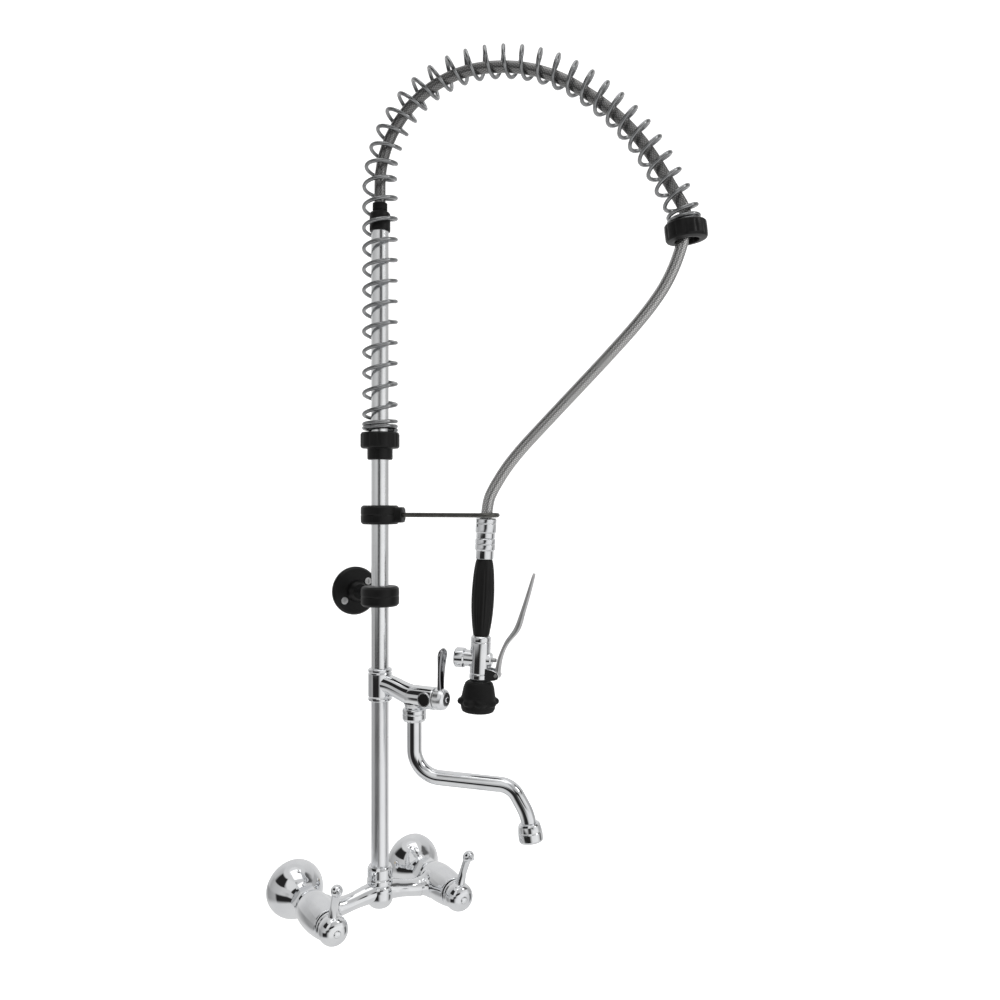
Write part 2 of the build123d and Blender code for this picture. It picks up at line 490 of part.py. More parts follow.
# free hose from the end collar to the gun
HL = [(365.3, DATUM + 784), (363.9, DATUM + 768), (348.0, DATUM + 724.1), (323.6, DATUM + 688.4), (283.4, DATUM + 643.8),
      (210.0, DATUM + 568.5), (163.9, DATUM + 520.5), (139.7, DATUM + 482.6), (134.8, DATUM + 467), (133.7, DATUM + 452.2)]


def corner_radii(points):
    out = []
    for a, b, c in zip(points, points[1:], points[2:]):
        p, q = Vector(*b) - Vector(*a), Vector(*c) - Vector(*b)
        turn = radians(p.get_angle(q))
        out.append(0.45 * min(p.length, q.length) / tan(turn / 2))
    return out


HL_R = corner_radii(HL)
print("free hose radii", [round(r) for r in HL_R])
d0 = ARCH.x_dir * (HL[1][0] - HL[0][0]) + Vector(0, 0, HL[1][1] - HL[0][1])
with BuildPart() as hose_lower:
    with BuildLine(ARCH) as lower_path:
        FilletPolyline(*HL, radius=HL_R)
    with BuildSketch(Plane(origin=ARCH.from_local_coords(Vector(HL[0][0], HL[0][1], 0)), z_dir=d0)):
        Circle(HOSE_R)
    sweep(path=lower_path.line)
save(hose_lower, "hose_lower")
lower_len = lower_path.wires()[0].length
print("free hose length", lower_len, "volume ratio", hose_lower.part.volume / (pi * HOSE_R**2 * lower_len))

# ---------------------------------------------------------------- hook
HOOK = Plane(origin=COL + Vector(0, 0, Z_HOOK), x_dir=u, z_dir=(0, 0, 1))
with BuildPart() as hook_ring:
    with BuildSketch(COLUMN):
        Polygon((PIPE_R + RUN_FIT, Z_HOOK - 11.5), (21, Z_HOOK - 11.5), (23, Z_HOOK - 9.5), (23.4, Z_HOOK), (23, Z_HOOK + 9.5), (21, Z_HOOK + 11.5),
                (PIPE_R + RUN_FIT, Z_HOOK + 11.5), align=None)
    revolve(axis=axis_of(COLUMN))
    with BuildSketch(Plane(origin=COL + u * 16 + Vector(0, 0, Z_HOOK), x_dir=(0, 0, 1), z_dir=u)):
        RectangleRounded(19, 19, 5)
    extrude(amount=14)
    with BuildSketch(Plane(origin=HOOK.from_local_coords(Vector(13, -0.6, 0)), x_dir=(0, 0, 1), z_dir=u * 1 + Vector(u.Y, -u.X, 0) * 0.105)):
        Circle(2.78)
    extrude(amount=30, mode=Mode.SUBTRACT)
save(hook_ring, "hook_ring")

with BuildPart() as hook_arm:
    with BuildLine(HOOK) as arm_line:
        l1 = Line((16.0, -1.04), (133.8 + 12.95 * cos(radians(-96)), 12.95 * sin(radians(-96))))
        CenterArc((133.8, 0), 12.95, -96, 246)
    with BuildSketch(Plane(origin=HOOK.from_local_coords(Vector(16.0, -1.04, 0)), x_dir=(0, 0, 1), z_dir=u * cos(radians(6)) + Vector(u.Y, -u.X, 0) * sin(radians(6)))):
        Circle(2.75)
    sweep(path=arm_line.line)
save(hook_arm, "hook_arm")

# ---------------------------------------------------------------- spray gun (local x = outwards, y = up)
with BuildPart() as hose_ferrule:
    with BuildSketch(GUN):
        Polygon((5, -3.4), (11.4, -3.4), (12.4, -4.4), (12.4, -20), (11.4, -21), (9.6, -21.6), (9.6, -27.4), (5, -27.4), align=None)
    revolve(axis=axis_of(GUN))
save(hose_ferrule, "hose_ferrule")

with BuildPart() as gun_coupling:
    with BuildSketch(GUN):
        Polygon((5, -27.5), (11.2, -27.5), (12, -28.4), (12, -40.6), (10.6, -42), (9.8, -43), (9.8, -52), (7, -52), (7, -60), (5, -60), align=None)
    revolve(axis=axis_of(GUN))
save(gun_coupling, "gun_coupling")

with BuildPart() as gun_grip:
    with BuildSketch(GUN):
        Polygon((7.05, -52.1), (9.4, -52.1), (10.6, -56), (12.2, -68), (13.3, -84), (13.6, -98), (13.2, -112), (12, -126), (10.2, -138), (9.2, -143),
                (7.05, -143), align=None)
    revolve(axis=axis_of(GUN))
save(gun_grip, "gun_grip")

CROSS_Y = -171.0
CROSS = Plane(origin=GUN.from_local_coords(Vector(0, CROSS_Y, 0)), x_dir=gy, z_dir=gy.cross(gx * -1))  # local y = towards the column (-x of the gun)
with BuildPart() as gun_body:
    with BuildSketch(GUN):
        Polygon((0, -60.1), (7, -60.1), (7, -143.1), (10.4, -143.1), (12.2, -145), (12.2, -194), (10.4, -197), (10.4, -203), (0, -203), align=None)
    revolve(axis=axis_of(GUN))
    with BuildSketch(CROSS):
        Polygon((0, -14.6), (7.4, -14.6), (8.4, -13), (8.4, 0), (10, 4), (10, 24), (0, 24), align=None)
    revolve(axis=axis_of(CROSS))
    with BuildSketch(GUN):
        Polygon((0, -60), (4.6, -60), (4.6, -165), (0, -165), align=None)
    revolve(axis=axis_of(GUN), mode=Mode.SUBTRACT)
    with BuildSketch(GUN):
        Polygon((0, -176), (4.6, -176), (4.6, -204), (0, -204), align=None)
    revolve(axis=axis_of(GUN), mode=Mode.SUBTRACT)
    with BuildSketch(CROSS):
        Polygon((0, -16), (2.56, -16), (2.56, -6), (7, -6), (7, 25), (0, 25), align=None)
    revolve(axis=axis_of(CROSS), mode=Mode.SUBTRACT)
    # ears for the lever's pin
    for k in (-1, 1):
        with BuildSketch(GUN.offset(k * 7.6 - 1.2)):
            with BuildLine():
                Polyline((6, -180), (18, -182), (23.4, -184.2), (25.6, -188.4), (24, -192.4), (20, -193.6), (6, -196), (6, -180))
            make_face()
        extrude(amount=2.4)
    with BuildSketch(GUN.offset(-12)):
        with Locations((21.4, -188)):
            Circle(2.0)
    extrude(amount=24, mode=Mode.SUBTRACT)
save(gun_body, "gun_body")

with BuildPart() as valve_cap:
    with BuildSketch(CROSS):
        Polygon((0, 30.6), (10.4, 30.6), (12, 29.2), (12, 19), (11, 18), (10.05, 18), (10.05, 24.2), (5, 24.2), (5, 28), (0, 28), align=None)
    revolve(axis=axis_of(CROSS))
save(valve_cap, "valve_cap")

with BuildPart() as valve_spring:
    with BuildSketch(CROSS):
        Polygon((3.4, 12.6), (4.7, 12.6), (4.7, 27.8), (3.4, 27.8), align=None)
    revolve(axis=axis_of(CROSS))
save(valve_spring, "valve_spring")

with BuildPart() as valve_stem:
    with BuildSketch(CROSS):
        Polygon((0, -20.1), (1.6, -20.1), (2.5, -19), (2.5, 0), (5.6, 2.4), (5.6, 6), (2.4, 6), (2.4, 22.6), (0, 22.6), align=None)
    revolve(axis=axis_of(CROSS))
save(valve_stem, "valve_stem")

with BuildPart() as lever_pin:
    with BuildSketch(GUN.offset(-9.6)):
        with Locations((21.4, -188)):
            Circle(1.95)
    extrude(amount=19.2)
save(lever_pin, "lever_pin")

# squeeze lever: a pressed handle that rises from the pin, past the stem, and out alongside the grip
with BuildPart() as squeeze_lever:
    with BuildSketch(GUN.offset(-6)):
        with BuildLine():
            Spline((25.4, -189.6), (25.6, -180), (27.6, -166), (33.6, -151), (46.8, -133), (52.6, -111), (58, -88), (62.4, -66))
            l2 = Line((62.4, -66), (59.4, -64.8))
            Spline((59.4, -64.8), (53.6, -86), (46.8, -110), (39.8, -131), (29.4, -147.6), (22.6, -165), (19.6, -179), (17.6, -188.6))
            Line((17.6, -188.6), (25.4, -189.6))
        make_face()
        with Locations((21.4, -188)):
            Circle(4.2)
    extrude(amount=12)
    with BuildSketch(GUN.offset(-12)):
        with Locations((21.4, -188)):
            Circle(1.95 + RUN_FIT)
    extrude(amount=24, mode=Mode.SUBTRACT)
save(squeeze_lever, "squeeze_lever")

with BuildPart() as nozzle_plate:
    with BuildSketch(GUN):
        Polygon((0, -228), (16.4, -228), (16.4, -220), (12.6, -214), (12.6, -204), (0, -204), align=None)
    revolve(axis=axis_of(GUN))
    with BuildSketch(GUN):
        Polygon((0, -203), (5, -203), (5, -212), (13.6, -218), (13.6, -225.6), (0, -225.6), align=None)
    revolve(axis=axis_of(GUN), mode=Mode.SUBTRACT)
    with BuildSketch(Plane(origin=GUN.from_local_coords(Vector(0, -228, 0)), x_dir=gx, z_dir=gy * -1)):
        with PolarLocations(10.5, 12):
            Circle(0.9)
        with PolarLocations(6, 8):
            Circle(0.9)
        Circle(0.9)
    extrude(amount=-4, mode=Mode.SUBTRACT)
save(nozzle_plate, "nozzle_plate")

with BuildPart() as bumper:
    with BuildSketch(GUN):
        Polygon((10.5, -197.2), (14, -197.2), (16.6, -199.2), (18.6, -205), (19.8, -212), (20.6, -216.2), (24.4, -218.6), (25.2, -221), (24.4, -223.4),
                (20.8, -225.2), (20.4, -229), (19, -232.4), (17.4, -233.4), (16.5, -233.4), (16.5, -219.9), (12.7, -213.9), (12.7, -203.2), (10.5, -203.2),
                align=None)
    revolve(axis=axis_of(GUN))
    with BuildSketch(Plane(origin=GUN.from_local_coords(Vector(0, -218.2, 0)), x_dir=gx, z_dir=gy * -1)):
        with PolarLocations(25.6, 8, start_angle=22.5):
            Circle(3.4)
    extrude(amount=5.6, mode=Mode.SUBTRACT)
save(bumper, "bumper")
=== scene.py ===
import bpy, math
import numpy as np
from mathutils import Vector, Matrix


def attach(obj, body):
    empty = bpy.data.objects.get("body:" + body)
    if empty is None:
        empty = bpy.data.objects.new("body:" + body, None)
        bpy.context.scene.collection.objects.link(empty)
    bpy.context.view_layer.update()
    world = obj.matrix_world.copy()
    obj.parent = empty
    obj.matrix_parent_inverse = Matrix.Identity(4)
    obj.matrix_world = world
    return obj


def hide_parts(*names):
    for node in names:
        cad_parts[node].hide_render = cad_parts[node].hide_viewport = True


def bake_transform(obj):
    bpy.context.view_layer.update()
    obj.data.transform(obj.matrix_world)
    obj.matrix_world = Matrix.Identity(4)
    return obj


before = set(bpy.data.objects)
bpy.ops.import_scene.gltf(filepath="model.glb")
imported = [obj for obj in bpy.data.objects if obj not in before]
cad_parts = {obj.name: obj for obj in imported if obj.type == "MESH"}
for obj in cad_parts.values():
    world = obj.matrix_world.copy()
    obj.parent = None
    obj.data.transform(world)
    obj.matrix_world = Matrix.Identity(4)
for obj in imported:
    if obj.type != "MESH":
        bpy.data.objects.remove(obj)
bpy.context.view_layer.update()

MM = 0.001
cos, sin, pi, rad = math.cos, math.sin, math.pi, math.radians

# ------------------------------------------------------------------ planes of the design, in mm
AXIS_Z, VALVE_X, COL_Y = -10.0, 81.0, 80.0
PIPE_R = 10.65
DATUM = 0.0
Z_TEE, Z_VALVE, Z_BRACKET, Z_HOOK = DATUM + 250, DATUM + 239, DATUM + 356, DATUM + 455
Z_COLLAR, Z_PIPE_TOP = DATUM + 536, DATUM + 809
UP = Vector((0, 0, 1))
COL = Vector((0, -COL_Y, 0))
u = Vector((cos(rad(-45)), sin(rad(-45)), 0))
v = Vector((cos(rad(-60)), sin(rad(-60)), 0))
side = Vector((v.y, -v.x, 0))
nrm = Vector((u.y, -u.x, 0))
s_dir = u.copy()
SWIVEL = COL + v * 50.0
tilt = rad(2.6)
gx = u * cos(tilt) - UP * sin(tilt)
gy = u * sin(tilt) + UP * cos(tilt)
G0 = COL + u * 133.7 + UP * Z_HOOK


class Frame3:
    """origin, x, y with y along the turned axis"""
    def __init__(self, o, x, y):
        self.o, self.x, self.y = Vector(o), Vector(x).normalized(), Vector(y).normalized()
        self.z = self.x.cross(self.y)

    def at(self, x, y, z=0.0):
        return self.o + self.x * x + self.y * y + self.z * z


HOT = Frame3((-VALVE_X, 0, AXIS_Z), (1, 0, 0), (0, -1, 0))
COLD = Frame3((VALVE_X, 0, AXIS_Z), (1, 0, 0), (0, -1, 0))
COLUMN = Frame3(COL, (1, 0, 0), (0, 0, 1))
ARCH = Frame3(COL, u, UP)
GUN = Frame3(G0, gx, gy)
CROSS = Frame3(GUN.at(0, -171), gy, -gx)
SV = Frame3(COL + UP * Z_VALVE, side, v)
SWV = Frame3(SWIVEL, (1, 0, 0), (0, 0, 1))
SPOUT = Frame3(SWIVEL, s_dir, UP)
FLANGE = Frame3((0, 0, Z_BRACKET), (1, 0, 0), (0, -1, 0))
ec = rad(6.0)
ec_dir = u * sin(ec) - UP * cos(ec)
EC = Frame3(COL + u * 365.2 + UP * (DATUM + 779.6), ec_dir.cross(nrm), ec_dir)

# ------------------------------------------------------------------ camera
cam_data = bpy.data.cameras.new("camera")
cam = bpy.data.objects.new("camera", cam_data)
bpy.context.scene.collection.objects.link(cam)
AZ = rad(-32)
DIST = 1.100
view_dir = Vector((-sin(AZ), cos(AZ), 0))
right = Vector((cos(AZ), sin(AZ), 0))
target = Vector((0, -COL_Y * MM, 0.473)) + right * (120 / 902 * DIST)
cam.location = target - view_dir * DIST
cam.rotation_euler = view_dir.to_track_quat("-Z", "Y").to_euler()
cam_data.sensor_width = 36
cam_data.lens = 36 * 902 / 1000
cam_data.clip_start, cam_data.clip_end = 0.02, 40
bpy.context.scene.camera = cam
bpy.context.scene.view_settings.view_transform = "Standard"
bpy.context.scene.view_settings.look = "None"

# ------------------------------------------------------------------ materials
MATS = {}


def new_mat(name):
    m = bpy.data.materials.new(name)
    m.use_nodes = True
    nt = m.node_tree
    for n in list(nt.nodes):
        nt.nodes.remove(n)
    out = nt.nodes.new("ShaderNodeOutputMaterial")
    b = nt.nodes.new("ShaderNodeBsdfPrincipled")
    nt.links.new(b.outputs[0], out.inputs[0])
    MATS[name] = m
    return m, nt, b


def noise(nt, scale, detail=4.0, rough=0.5, src="Object"):
    tc = nt.nodes.new("ShaderNodeTexCoord")
    n = nt.nodes.new("ShaderNodeTexNoise")
    n.inputs["Scale"].default_value = scale
    n.inputs["Detail"].default_value = detail
    n.inputs["Roughness"].default_value = rough
    nt.links.new(tc.outputs[src], n.inputs["Vector"])
    return n


def ramp(nt, fac, stops):
    r = nt.nodes.new("ShaderNodeValToRGB")
    e = r.color_ramp.elements
    while len(e) < len(stops):
        e.new(0.5)
    for el, (p, c) in zip(e, stops):
        el.position = p
        el.color = (*c, 1) if len(c) == 3 else c
    nt.links.new(fac, r.inputs[0])
    return r


def mrange(nt, fac, lo, hi):
    r = nt.nodes.new("ShaderNodeMapRange")
    r.inputs["From Min"].default_value, r.inputs["From Max"].default_value = 0.25, 0.75
    r.inputs["To Min"].default_value, r.inputs["To Max"].default_value = lo, hi
    nt.links.new(fac, r.inputs["Value"])
    return r


def bump(nt, b, height, strength, dist=0.0003, prev=None):
    k = nt.nodes.new("ShaderNodeBump")
    k.inputs["Strength"].default_value = strength
    k.inputs["Distance"].default_value = dist
    nt.links.new(height, k.inputs["Height"])
    if prev is not None:
        nt.links.new(prev.outputs[0], k.inputs["Normal"])
    nt.links.new(k.outputs[0], b.inputs["Normal"])
    return k


def metal(name, c0, c1, r0, r1, bstr=0.02, scale=90.0, bscale=600.0):
    m, nt, b = new_mat(name)
    b.inputs["Metallic"].default_value = 1.0
    n1 = noise(nt, scale, 3.0)
    nt.links.new(ramp(nt, n1.outputs[0], [(0.3, c0), (0.7, c1)]).outputs[0], b.inputs["Base Color"])
    n2 = noise(nt, scale * 0.35, 5.0, 0.6)
    nt.links.new(mrange(nt, n2.outputs[0], r0, r1).outputs[0], b.inputs["Roughness"])
    n3 = noise(nt, bscale, 2.0)
    bump(nt, b, n3.outputs[0], bstr, 0.0001)
    return m


metal("chrome", (0.80, 0.81, 0.83), (0.88, 0.89, 0.90), 0.035, 0.085, 0.015, 40.0, 250.0)
metal("tube_polish", (0.88, 0.89, 0.90), (0.94, 0.95, 0.96), 0.16, 0.21, 0.015, 40.0, 250.0)
metal("tube_chrome", (0.92, 0.93, 0.95), (0.96, 0.97, 0.98), 0.26, 0.32, 0.015, 40.0, 250.0)
metal("dark_chrome", (0.30, 0.30, 0.31), (0.38, 0.38, 0.39), 0.08, 0.14, 0.015, 40.0, 250.0)
metal("spring_wire", (0.25, 0.255, 0.26), (0.38, 0.385, 0.39), 0.14, 0.26, 0.05, 120.0, 900.0)
metal("stainless", (0.52, 0.52, 0.52), (0.66, 0.66, 0.66), 0.26, 0.38, 0.05, 160.0, 1200.0)
metal("lever_steel", (0.56, 0.56, 0.56), (0.66, 0.66, 0.665), 0.26, 0.38, 0.05, 140.0, 1400.0)
metal("rod_steel", (0.11, 0.108, 0.10), (0.17, 0.166, 0.155), 0.22, 0.34, 0.05, 160.0, 1200.0)
metal("brass", (0.62, 0.46, 0.22), (0.76, 0.60, 0.33), 0.2, 0.35, 0.05, 90.0, 900.0)


def plastic(name, c0, c1, r0, r1, bstr, bscale, coat=0.0):
    m, nt, b = new_mat(name)
    n1 = noise(nt, 60.0, 4.0)
    nt.links.new(ramp(nt, n1.outputs[0], [(0.3, c0), (0.7, c1)]).outputs[0], b.inputs["Base Color"])
    n2 = noise(nt, 35.0, 6.0, 0.65)
    nt.links.new(mrange(nt, n2.outputs[0], r0, r1).outputs[0], b.inputs["Roughness"])
    n3 = noise(nt, bscale, 3.0)
    bump(nt, b, n3.outputs[0], bstr, 0.0002)
    b.inputs["Coat Weight"].default_value = coat
    b.inputs["Specular IOR Level"].default_value = 0.28
    return m


plastic("black_plastic", (0.004, 0.004, 0.004), (0.008, 0.008, 0.008), 0.32, 0.46, 0.22, 1400.0)
plastic("grip_plastic", (0.005, 0.005, 0.005), (0.010, 0.010, 0.010), 0.36, 0.50, 0.25, 1700.0)
plastic("black_rubber", (0.004, 0.004, 0.004), (0.008, 0.008, 0.008), 0.50, 0.66, 0.3, 1600.0)
plastic("grey_plastic", (0.20, 0.20, 0.21), (0.27, 0.27, 0.28), 0.4, 0.55, 0.2, 1200.0)
plastic("gasket", (0.03, 0.03, 0.03), (0.05, 0.05, 0.05), 0.6, 0.8, 0.3, 900.0)


# k_ scales every colour of the braid; below 1 it gives a copy darkened with painted shade
def braid_mat(name, k_):
    m, nt, b = new_mat(name)
    b.inputs["Metallic"].default_value = 0.9
    uv = nt.nodes.new("ShaderNodeUVMap")
    uv.uv_map = "UVMap"
    sep = nt.nodes.new("ShaderNodeSeparateXYZ")
    nt.links.new(uv.outputs[0], sep.inputs[0])

    def math_(op, a, c=None, val=None):
        k = nt.nodes.new("ShaderNodeMath")
        k.operation = op
        nt.links.new(a, k.inputs[0])
        if c is not None:
            nt.links.new(c, k.inputs[1])
        elif val is not None:
            k.inputs[1].default_value = val
        return k.outputs[0]

    # u counts strands round the hose, v runs along it, both already scaled on the mesh
    p = math_("ADD", sep.outputs[0], sep.outputs[1])
    q = math_("SUBTRACT", sep.outputs[0], sep.outputs[1])
    sp = math_("ABSOLUTE", math_("SINE", math_("MULTIPLY", p, val=pi)))
    sq = math_("ABSOLUTE", math_("SINE", math_("MULTIPLY", q, val=pi)))
    over = math_("MULTIPLY", math_("SINE", math_("MULTIPLY", p, val=pi * 2)), math_("SINE", math_("MULTIPLY", q, val=pi * 2)))
    h = math_("ADD", math_("MULTIPLY", math_("ADD", sp, sq), val=0.5), math_("MULTIPLY", over, val=0.35))
    # colour from the weave height: darker at the strand edges, in the gaps and where a strand dips under, painted
    # shade; brighter on the strand crowns, painted highlight
    nt.links.new(ramp(nt, h, [(0.05, (0.09 * k_, 0.09 * k_, 0.09 * k_)), (0.45, (0.42 * k_, 0.417 * k_, 0.412 * k_)), (0.95, (0.70 * k_, 0.695 * k_, 0.69 * k_))]).outputs[0],
                 b.inputs["Base Color"])
    n2 = noise(nt, 60.0, 4.0)
    nt.links.new(mrange(nt, n2.outputs[0], 0.22, 0.34).outputs[0], b.inputs["Roughness"])
    bump(nt, b, h, 0.35, 0.00025)


braid_mat("hose_braid", 1.0)
# copy at 0.42 brightness for the hose inside the spring: painted shade
braid_mat("hose_braid_painted_shade", 0.42)

# ------------------------------------------------------------------ mesh helpers (mm in, metres out)


def make_obj(name, verts, faces, mat, body, sharp=32, uvs=None, replaces=()):
    me = bpy.data.meshes.new(name)
    me.from_pydata([tuple(Vector(p) * MM) for p in verts], [], faces)
    me.validate()
    if uvs is not None:
        layer = me.uv_layers.new(name="UVMap")
        flat = [c for f in uvs for c in f]
        for i, c in enumerate(flat):
            layer.data[i].uv = c
    for p in me.polygons:
        p.use_smooth = True
    if sharp:
        me.set_sharp_from_angle(angle=rad(sharp))
    ob = bpy.data.objects.new(name, me)
    bpy.context.scene.collection.objects.link(ob)
    me.materials.append(MATS[mat])
    if body:
        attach(ob, body)
    if replaces:
        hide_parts(*replaces)
    return ob


def rounded(prof, rr=0.8, n=4, closed=False):
    """round each corner of a profile by a small radius"""
    out = []
    P = [Vector(p[:2]) for p in prof]
    R = [p[2] if len(p) > 2 else rr for p in prof]
    N = len(P)
    for i, p in enumerate(P):
        if not closed and i in (0, N - 1) or R[i] <= 0:
            out.append(p)
            continue
        a, b = P[i - 1], P[(i + 1) % N]
        d1, d2 = a - p, b - p
        l1, l2 = d1.length, d2.length
        if l1 < 1e-6 or l2 < 1e-6:
            out.append(p)
            continue
        d1 /= l1
        d2 /= l2
        ang = d1.angle(d2)
        if ang > pi - 0.05:
            out.append(p)
            continue
        t = min(R[i] / max(math.tan(ang / 2), 1e-3), 0.48 * l1, 0.48 * l2)
        q0, q1 = p + d1 * t, p + d2 * t
        for k in range(n + 1):
            f = k / n
            out.append(q0 * (1 - f) ** 2 + p * (2 * f * (1 - f)) + q1 * f ** 2)
    return [(q.x, q.y) for q in out]


def smooth(prof, n=5):
    """a Catmull-Rom curve through the points"""
    P = [Vector(p[:2]) for p in prof]
    P = [P[0] * 2 - P[1]] + P + [P[-1] * 2 - P[-2]]
    out = []
    for i in range(1, len(P) - 2):
        a, b, c, d = P[i - 1], P[i], P[i + 1], P[i + 2]
        for k in range(n):
            t = k / n
            out.append(0.5 * ((2 * b) + (c - a) * t + (2 * a - 5 * b + 4 * c - d) * t * t + (3 * b - a - 3 * c + d) * t ** 3))
    out.append(P[-2])
    return [(q.x, q.y) for q in out]


def lathe_mesh(F, prof, seg=64, flute=None, closed=False):
    """turn a profile of (radius, along) points about F.y; flute = (count, depth, lo, hi, power)"""
    verts, faces, rows = [], [], []
    for (r, t) in prof:
        if r < 1e-4:
            rows.append([len(verts)])
            verts.append(F.at(0, t))
            continue
        row = []
        for k in range(seg):
            a = 2 * pi * k / seg
            rr = r
            if flute:
                cnt, depth, lo, hi, power = flute
                w = 0.0
                if lo < t < hi:
                    e = min(t - lo, hi - t) / max((hi - lo) * 0.18, 1e-6)
                    w = min(1.0, e)
                rr = r - depth * w * (0.5 + 0.5 * cos(cnt * a)) ** power
            row.append(len(verts))
            verts.append(F.at(rr * cos(a), t, rr * sin(a)))
        rows.append(row)
    pairs = list(zip(rows, rows[1:]))
    if closed:
        pairs.append((rows[-1], rows[0]))
    for A, B in pairs:
        if len(A) == 1 and len(B) == 1:
            continue
        for k in range(seg):
            k2 = (k + 1) % seg
            if len(A) == 1:
                faces.append((A[0], B[k2], B[k]))
            elif len(B) == 1:
                faces.append((A[k], A[k2], B[0]))
            else:
                faces.append((A[k], A[k2], B[k2], B[k]))
    return verts, faces


def tube_mesh(pts, radii, seg=24, caps=True, up=None, round_caps=False, squash=1.0, uv=None):
    """a round tube along points; radii is a number or one per point"""
    P = [Vector(p) for p in pts]
    N = len(P)
    if not hasattr(radii, "__len__"):
        radii = [radii] * N
    T = []
    for i in range(N):
        a = P[max(i - 1, 0)]
        b = P[min(i + 1, N - 1)]
        T.append((b - a).normalized())
    n0 = Vector(up) if up is not None else (Vector((0, 0, 1)) if abs(T[0].z) < 0.9 else Vector((1, 0, 0)))
    n = (n0 - T[0] * n0.dot(T[0])).normalized()
    verts, faces, uvs = [], [], []
    length = 0.0
    Ls = []
    for i in range(N):
        if i:
            n = (n - T[i] * n.dot(T[i])).normalized()
            length += (P[i] - P[i - 1]).length
        Ls.append(length)
        b = T[i].cross(n)
        for k in range(seg):
            a = 2 * pi * k / seg
            verts.append(P[i] + n * (radii[i] * cos(a)) + b * (radii[i] * squash * sin(a)))
    cnt, pitch = uv or (8, 10.0)
    for i in range(N - 1):
        for k in range(seg):
            k2 = (k + 1) % seg
            faces.append((i * seg + k, i * seg + k2, (i + 1) * seg + k2, (i + 1) * seg + k))
            u0, u1 = cnt * k / seg, cnt * (k + 1) / seg
            v0, v1 = Ls[i] / pitch, Ls[i + 1] / pitch
            uvs.append([(u0, v0), (u1, v0), (u1, v1), (u0, v1)])
    if caps:
        faces.append(tuple(reversed(range(seg))))
        uvs.append([(0, 0)] * seg)
        faces.append(tuple((N - 1) * seg + k for k in range(seg)))
        uvs.append([(0, 0)] * seg)
    return verts, faces, uvs


def ball_mesh(c, r, seg=32, rows=16, F=None, sy=1.0):
    F = F or Frame3((0, 0, 0), (1, 0, 0), (0, 0, 1))
    G = Frame3(c, F.x, F.y)
    prof = [(r * sin(pi * i / rows), -r * sy * cos(pi * i / rows)) for i in range(rows + 1)]
    prof[0] = (0, -r * sy)
    prof[-1] = (0, r * sy)
    return lathe_mesh(G, prof, seg)


def join(*parts):
    V, Fc = [], []
    for p in parts:
        v_, f_ = p[0], p[1]
        k = len(V)
        V += list(v_)
        Fc += [tuple(i + k for i in f) for f in f_]
    return V, Fc


def fillet_path(pts, radii, step=4.0):
    """straight runs and tangent arcs, for rigid tubes"""
    P = [Vector(p) for p in pts]
    out = [P[0]]
    for i in range(1, len(P) - 1):
        a, p, b = P[i - 1], P[i], P[i + 1]
        d1, d2 = (a - p).normalized(), (b - p).normalized()
        ang = d1.angle(d2)
        r = radii[i - 1]
        t = r / math.tan(ang / 2)
        q0, q1 = p + d1 * t, p + d2 * t
        c = p + (d1 + d2).normalized() * (r / sin(ang / 2))
        turn = pi - ang
        n = max(4, int(r * turn / step))
        e1 = (q0 - c).normalized()
        e2 = (q1 - c)
        e2 = (e2 - e1 * e2.dot(e1)).normalized()
        L = (q0 - out[-1]).length
        m = max(1, int(L / (step * 4)))
        for k in range(1, m):
            out.append(out[-1] + (q0 - out[-1]) * (1 / (m - k + 1)))
        for k in range(n + 1):
            f = turn * k / n
            out.append(c + e1 * (r * cos(f)) + e2 * (r * sin(f)))
    out.append(P[-1])
    return out


# ------------------------------------------------------------------ free hose first
HL = [(365.3, 784.0), (363.9, 768.0), (348.0, 724.1), (323.6, 688.4), (283.4, 643.8), (210.0, 568.5), (163.9, 520.5), (139.7, 482.6), (134.8, 467.0), (133.7, 452.2)]
HOSE_ROUTE = [(COL + u * r + UP * z) * MM for r, z in HL]


def nurbs_points(route, res=24):
    cu = bpy.data.curves.new("route", "CURVE")
    cu.dimensions = "3D"
    sp = cu.splines.new("NURBS")
    sp.points.add(len(route) - 1)
    for pt, co in zip(sp.points, route):
        pt.co = (*co, 1)
    sp.order_u = 3
    sp.use_endpoint_u = True
    sp.resolution_u = res
    ob = bpy.data.objects.new("route", cu)
    bpy.context.scene.collection.objects.link(ob)
    me = bpy.data.meshes.new_from_object(ob)
    pts = [vv.co.copy() for vv in me.vertices]
    bpy.data.objects.remove(ob)
    bpy.data.curves.remove(cu)
    bpy.data.meshes.remove(me)
    return pts


hose_pts = nurbs_points(HOSE_ROUTE)
hose_len = sum((b - a).length for a, b in zip(hose_pts, hose_pts[1:]))
V_, F_, U_ = tube_mesh([p * 1000 for p in hose_pts], 6.8, seg=40, up=nrm, uv=(14, 4.6))
hose = make_obj("free_hose", V_, F_, "hose_braid", None, sharp=50, uvs=U_)
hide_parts("hose_lower")
tuple(HOSE_ROUTE[1])
tuple(HOSE_ROUTE[-2])
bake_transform(hose)
tuple(HOSE_ROUTE[0])
[tuple(p) for p in hose_pts]

# hose inside the spring, in a darkened copy of the braid: painted shade on the same hose as the free one
HU = [(0, Z_PIPE_TOP + 19.1), (0, 986.0), (194.8, 986.0), (304.1, 906.6), (366.53, 798.0), (365.31, 784.1)]
hu_pts = fillet_path([COL + u * a + UP * b for a, b in HU], [130, 188, 290, 38], 5.0)
V_, F_, U_ = tube_mesh(hu_pts, 6.8, seg=32, up=nrm, uv=(14, 4.6))
make_obj("inner_hose", V_, F_, "hose_braid_painted_shade", "spray_arm", sharp=50, uvs=U_, replaces=("hose_upper",))

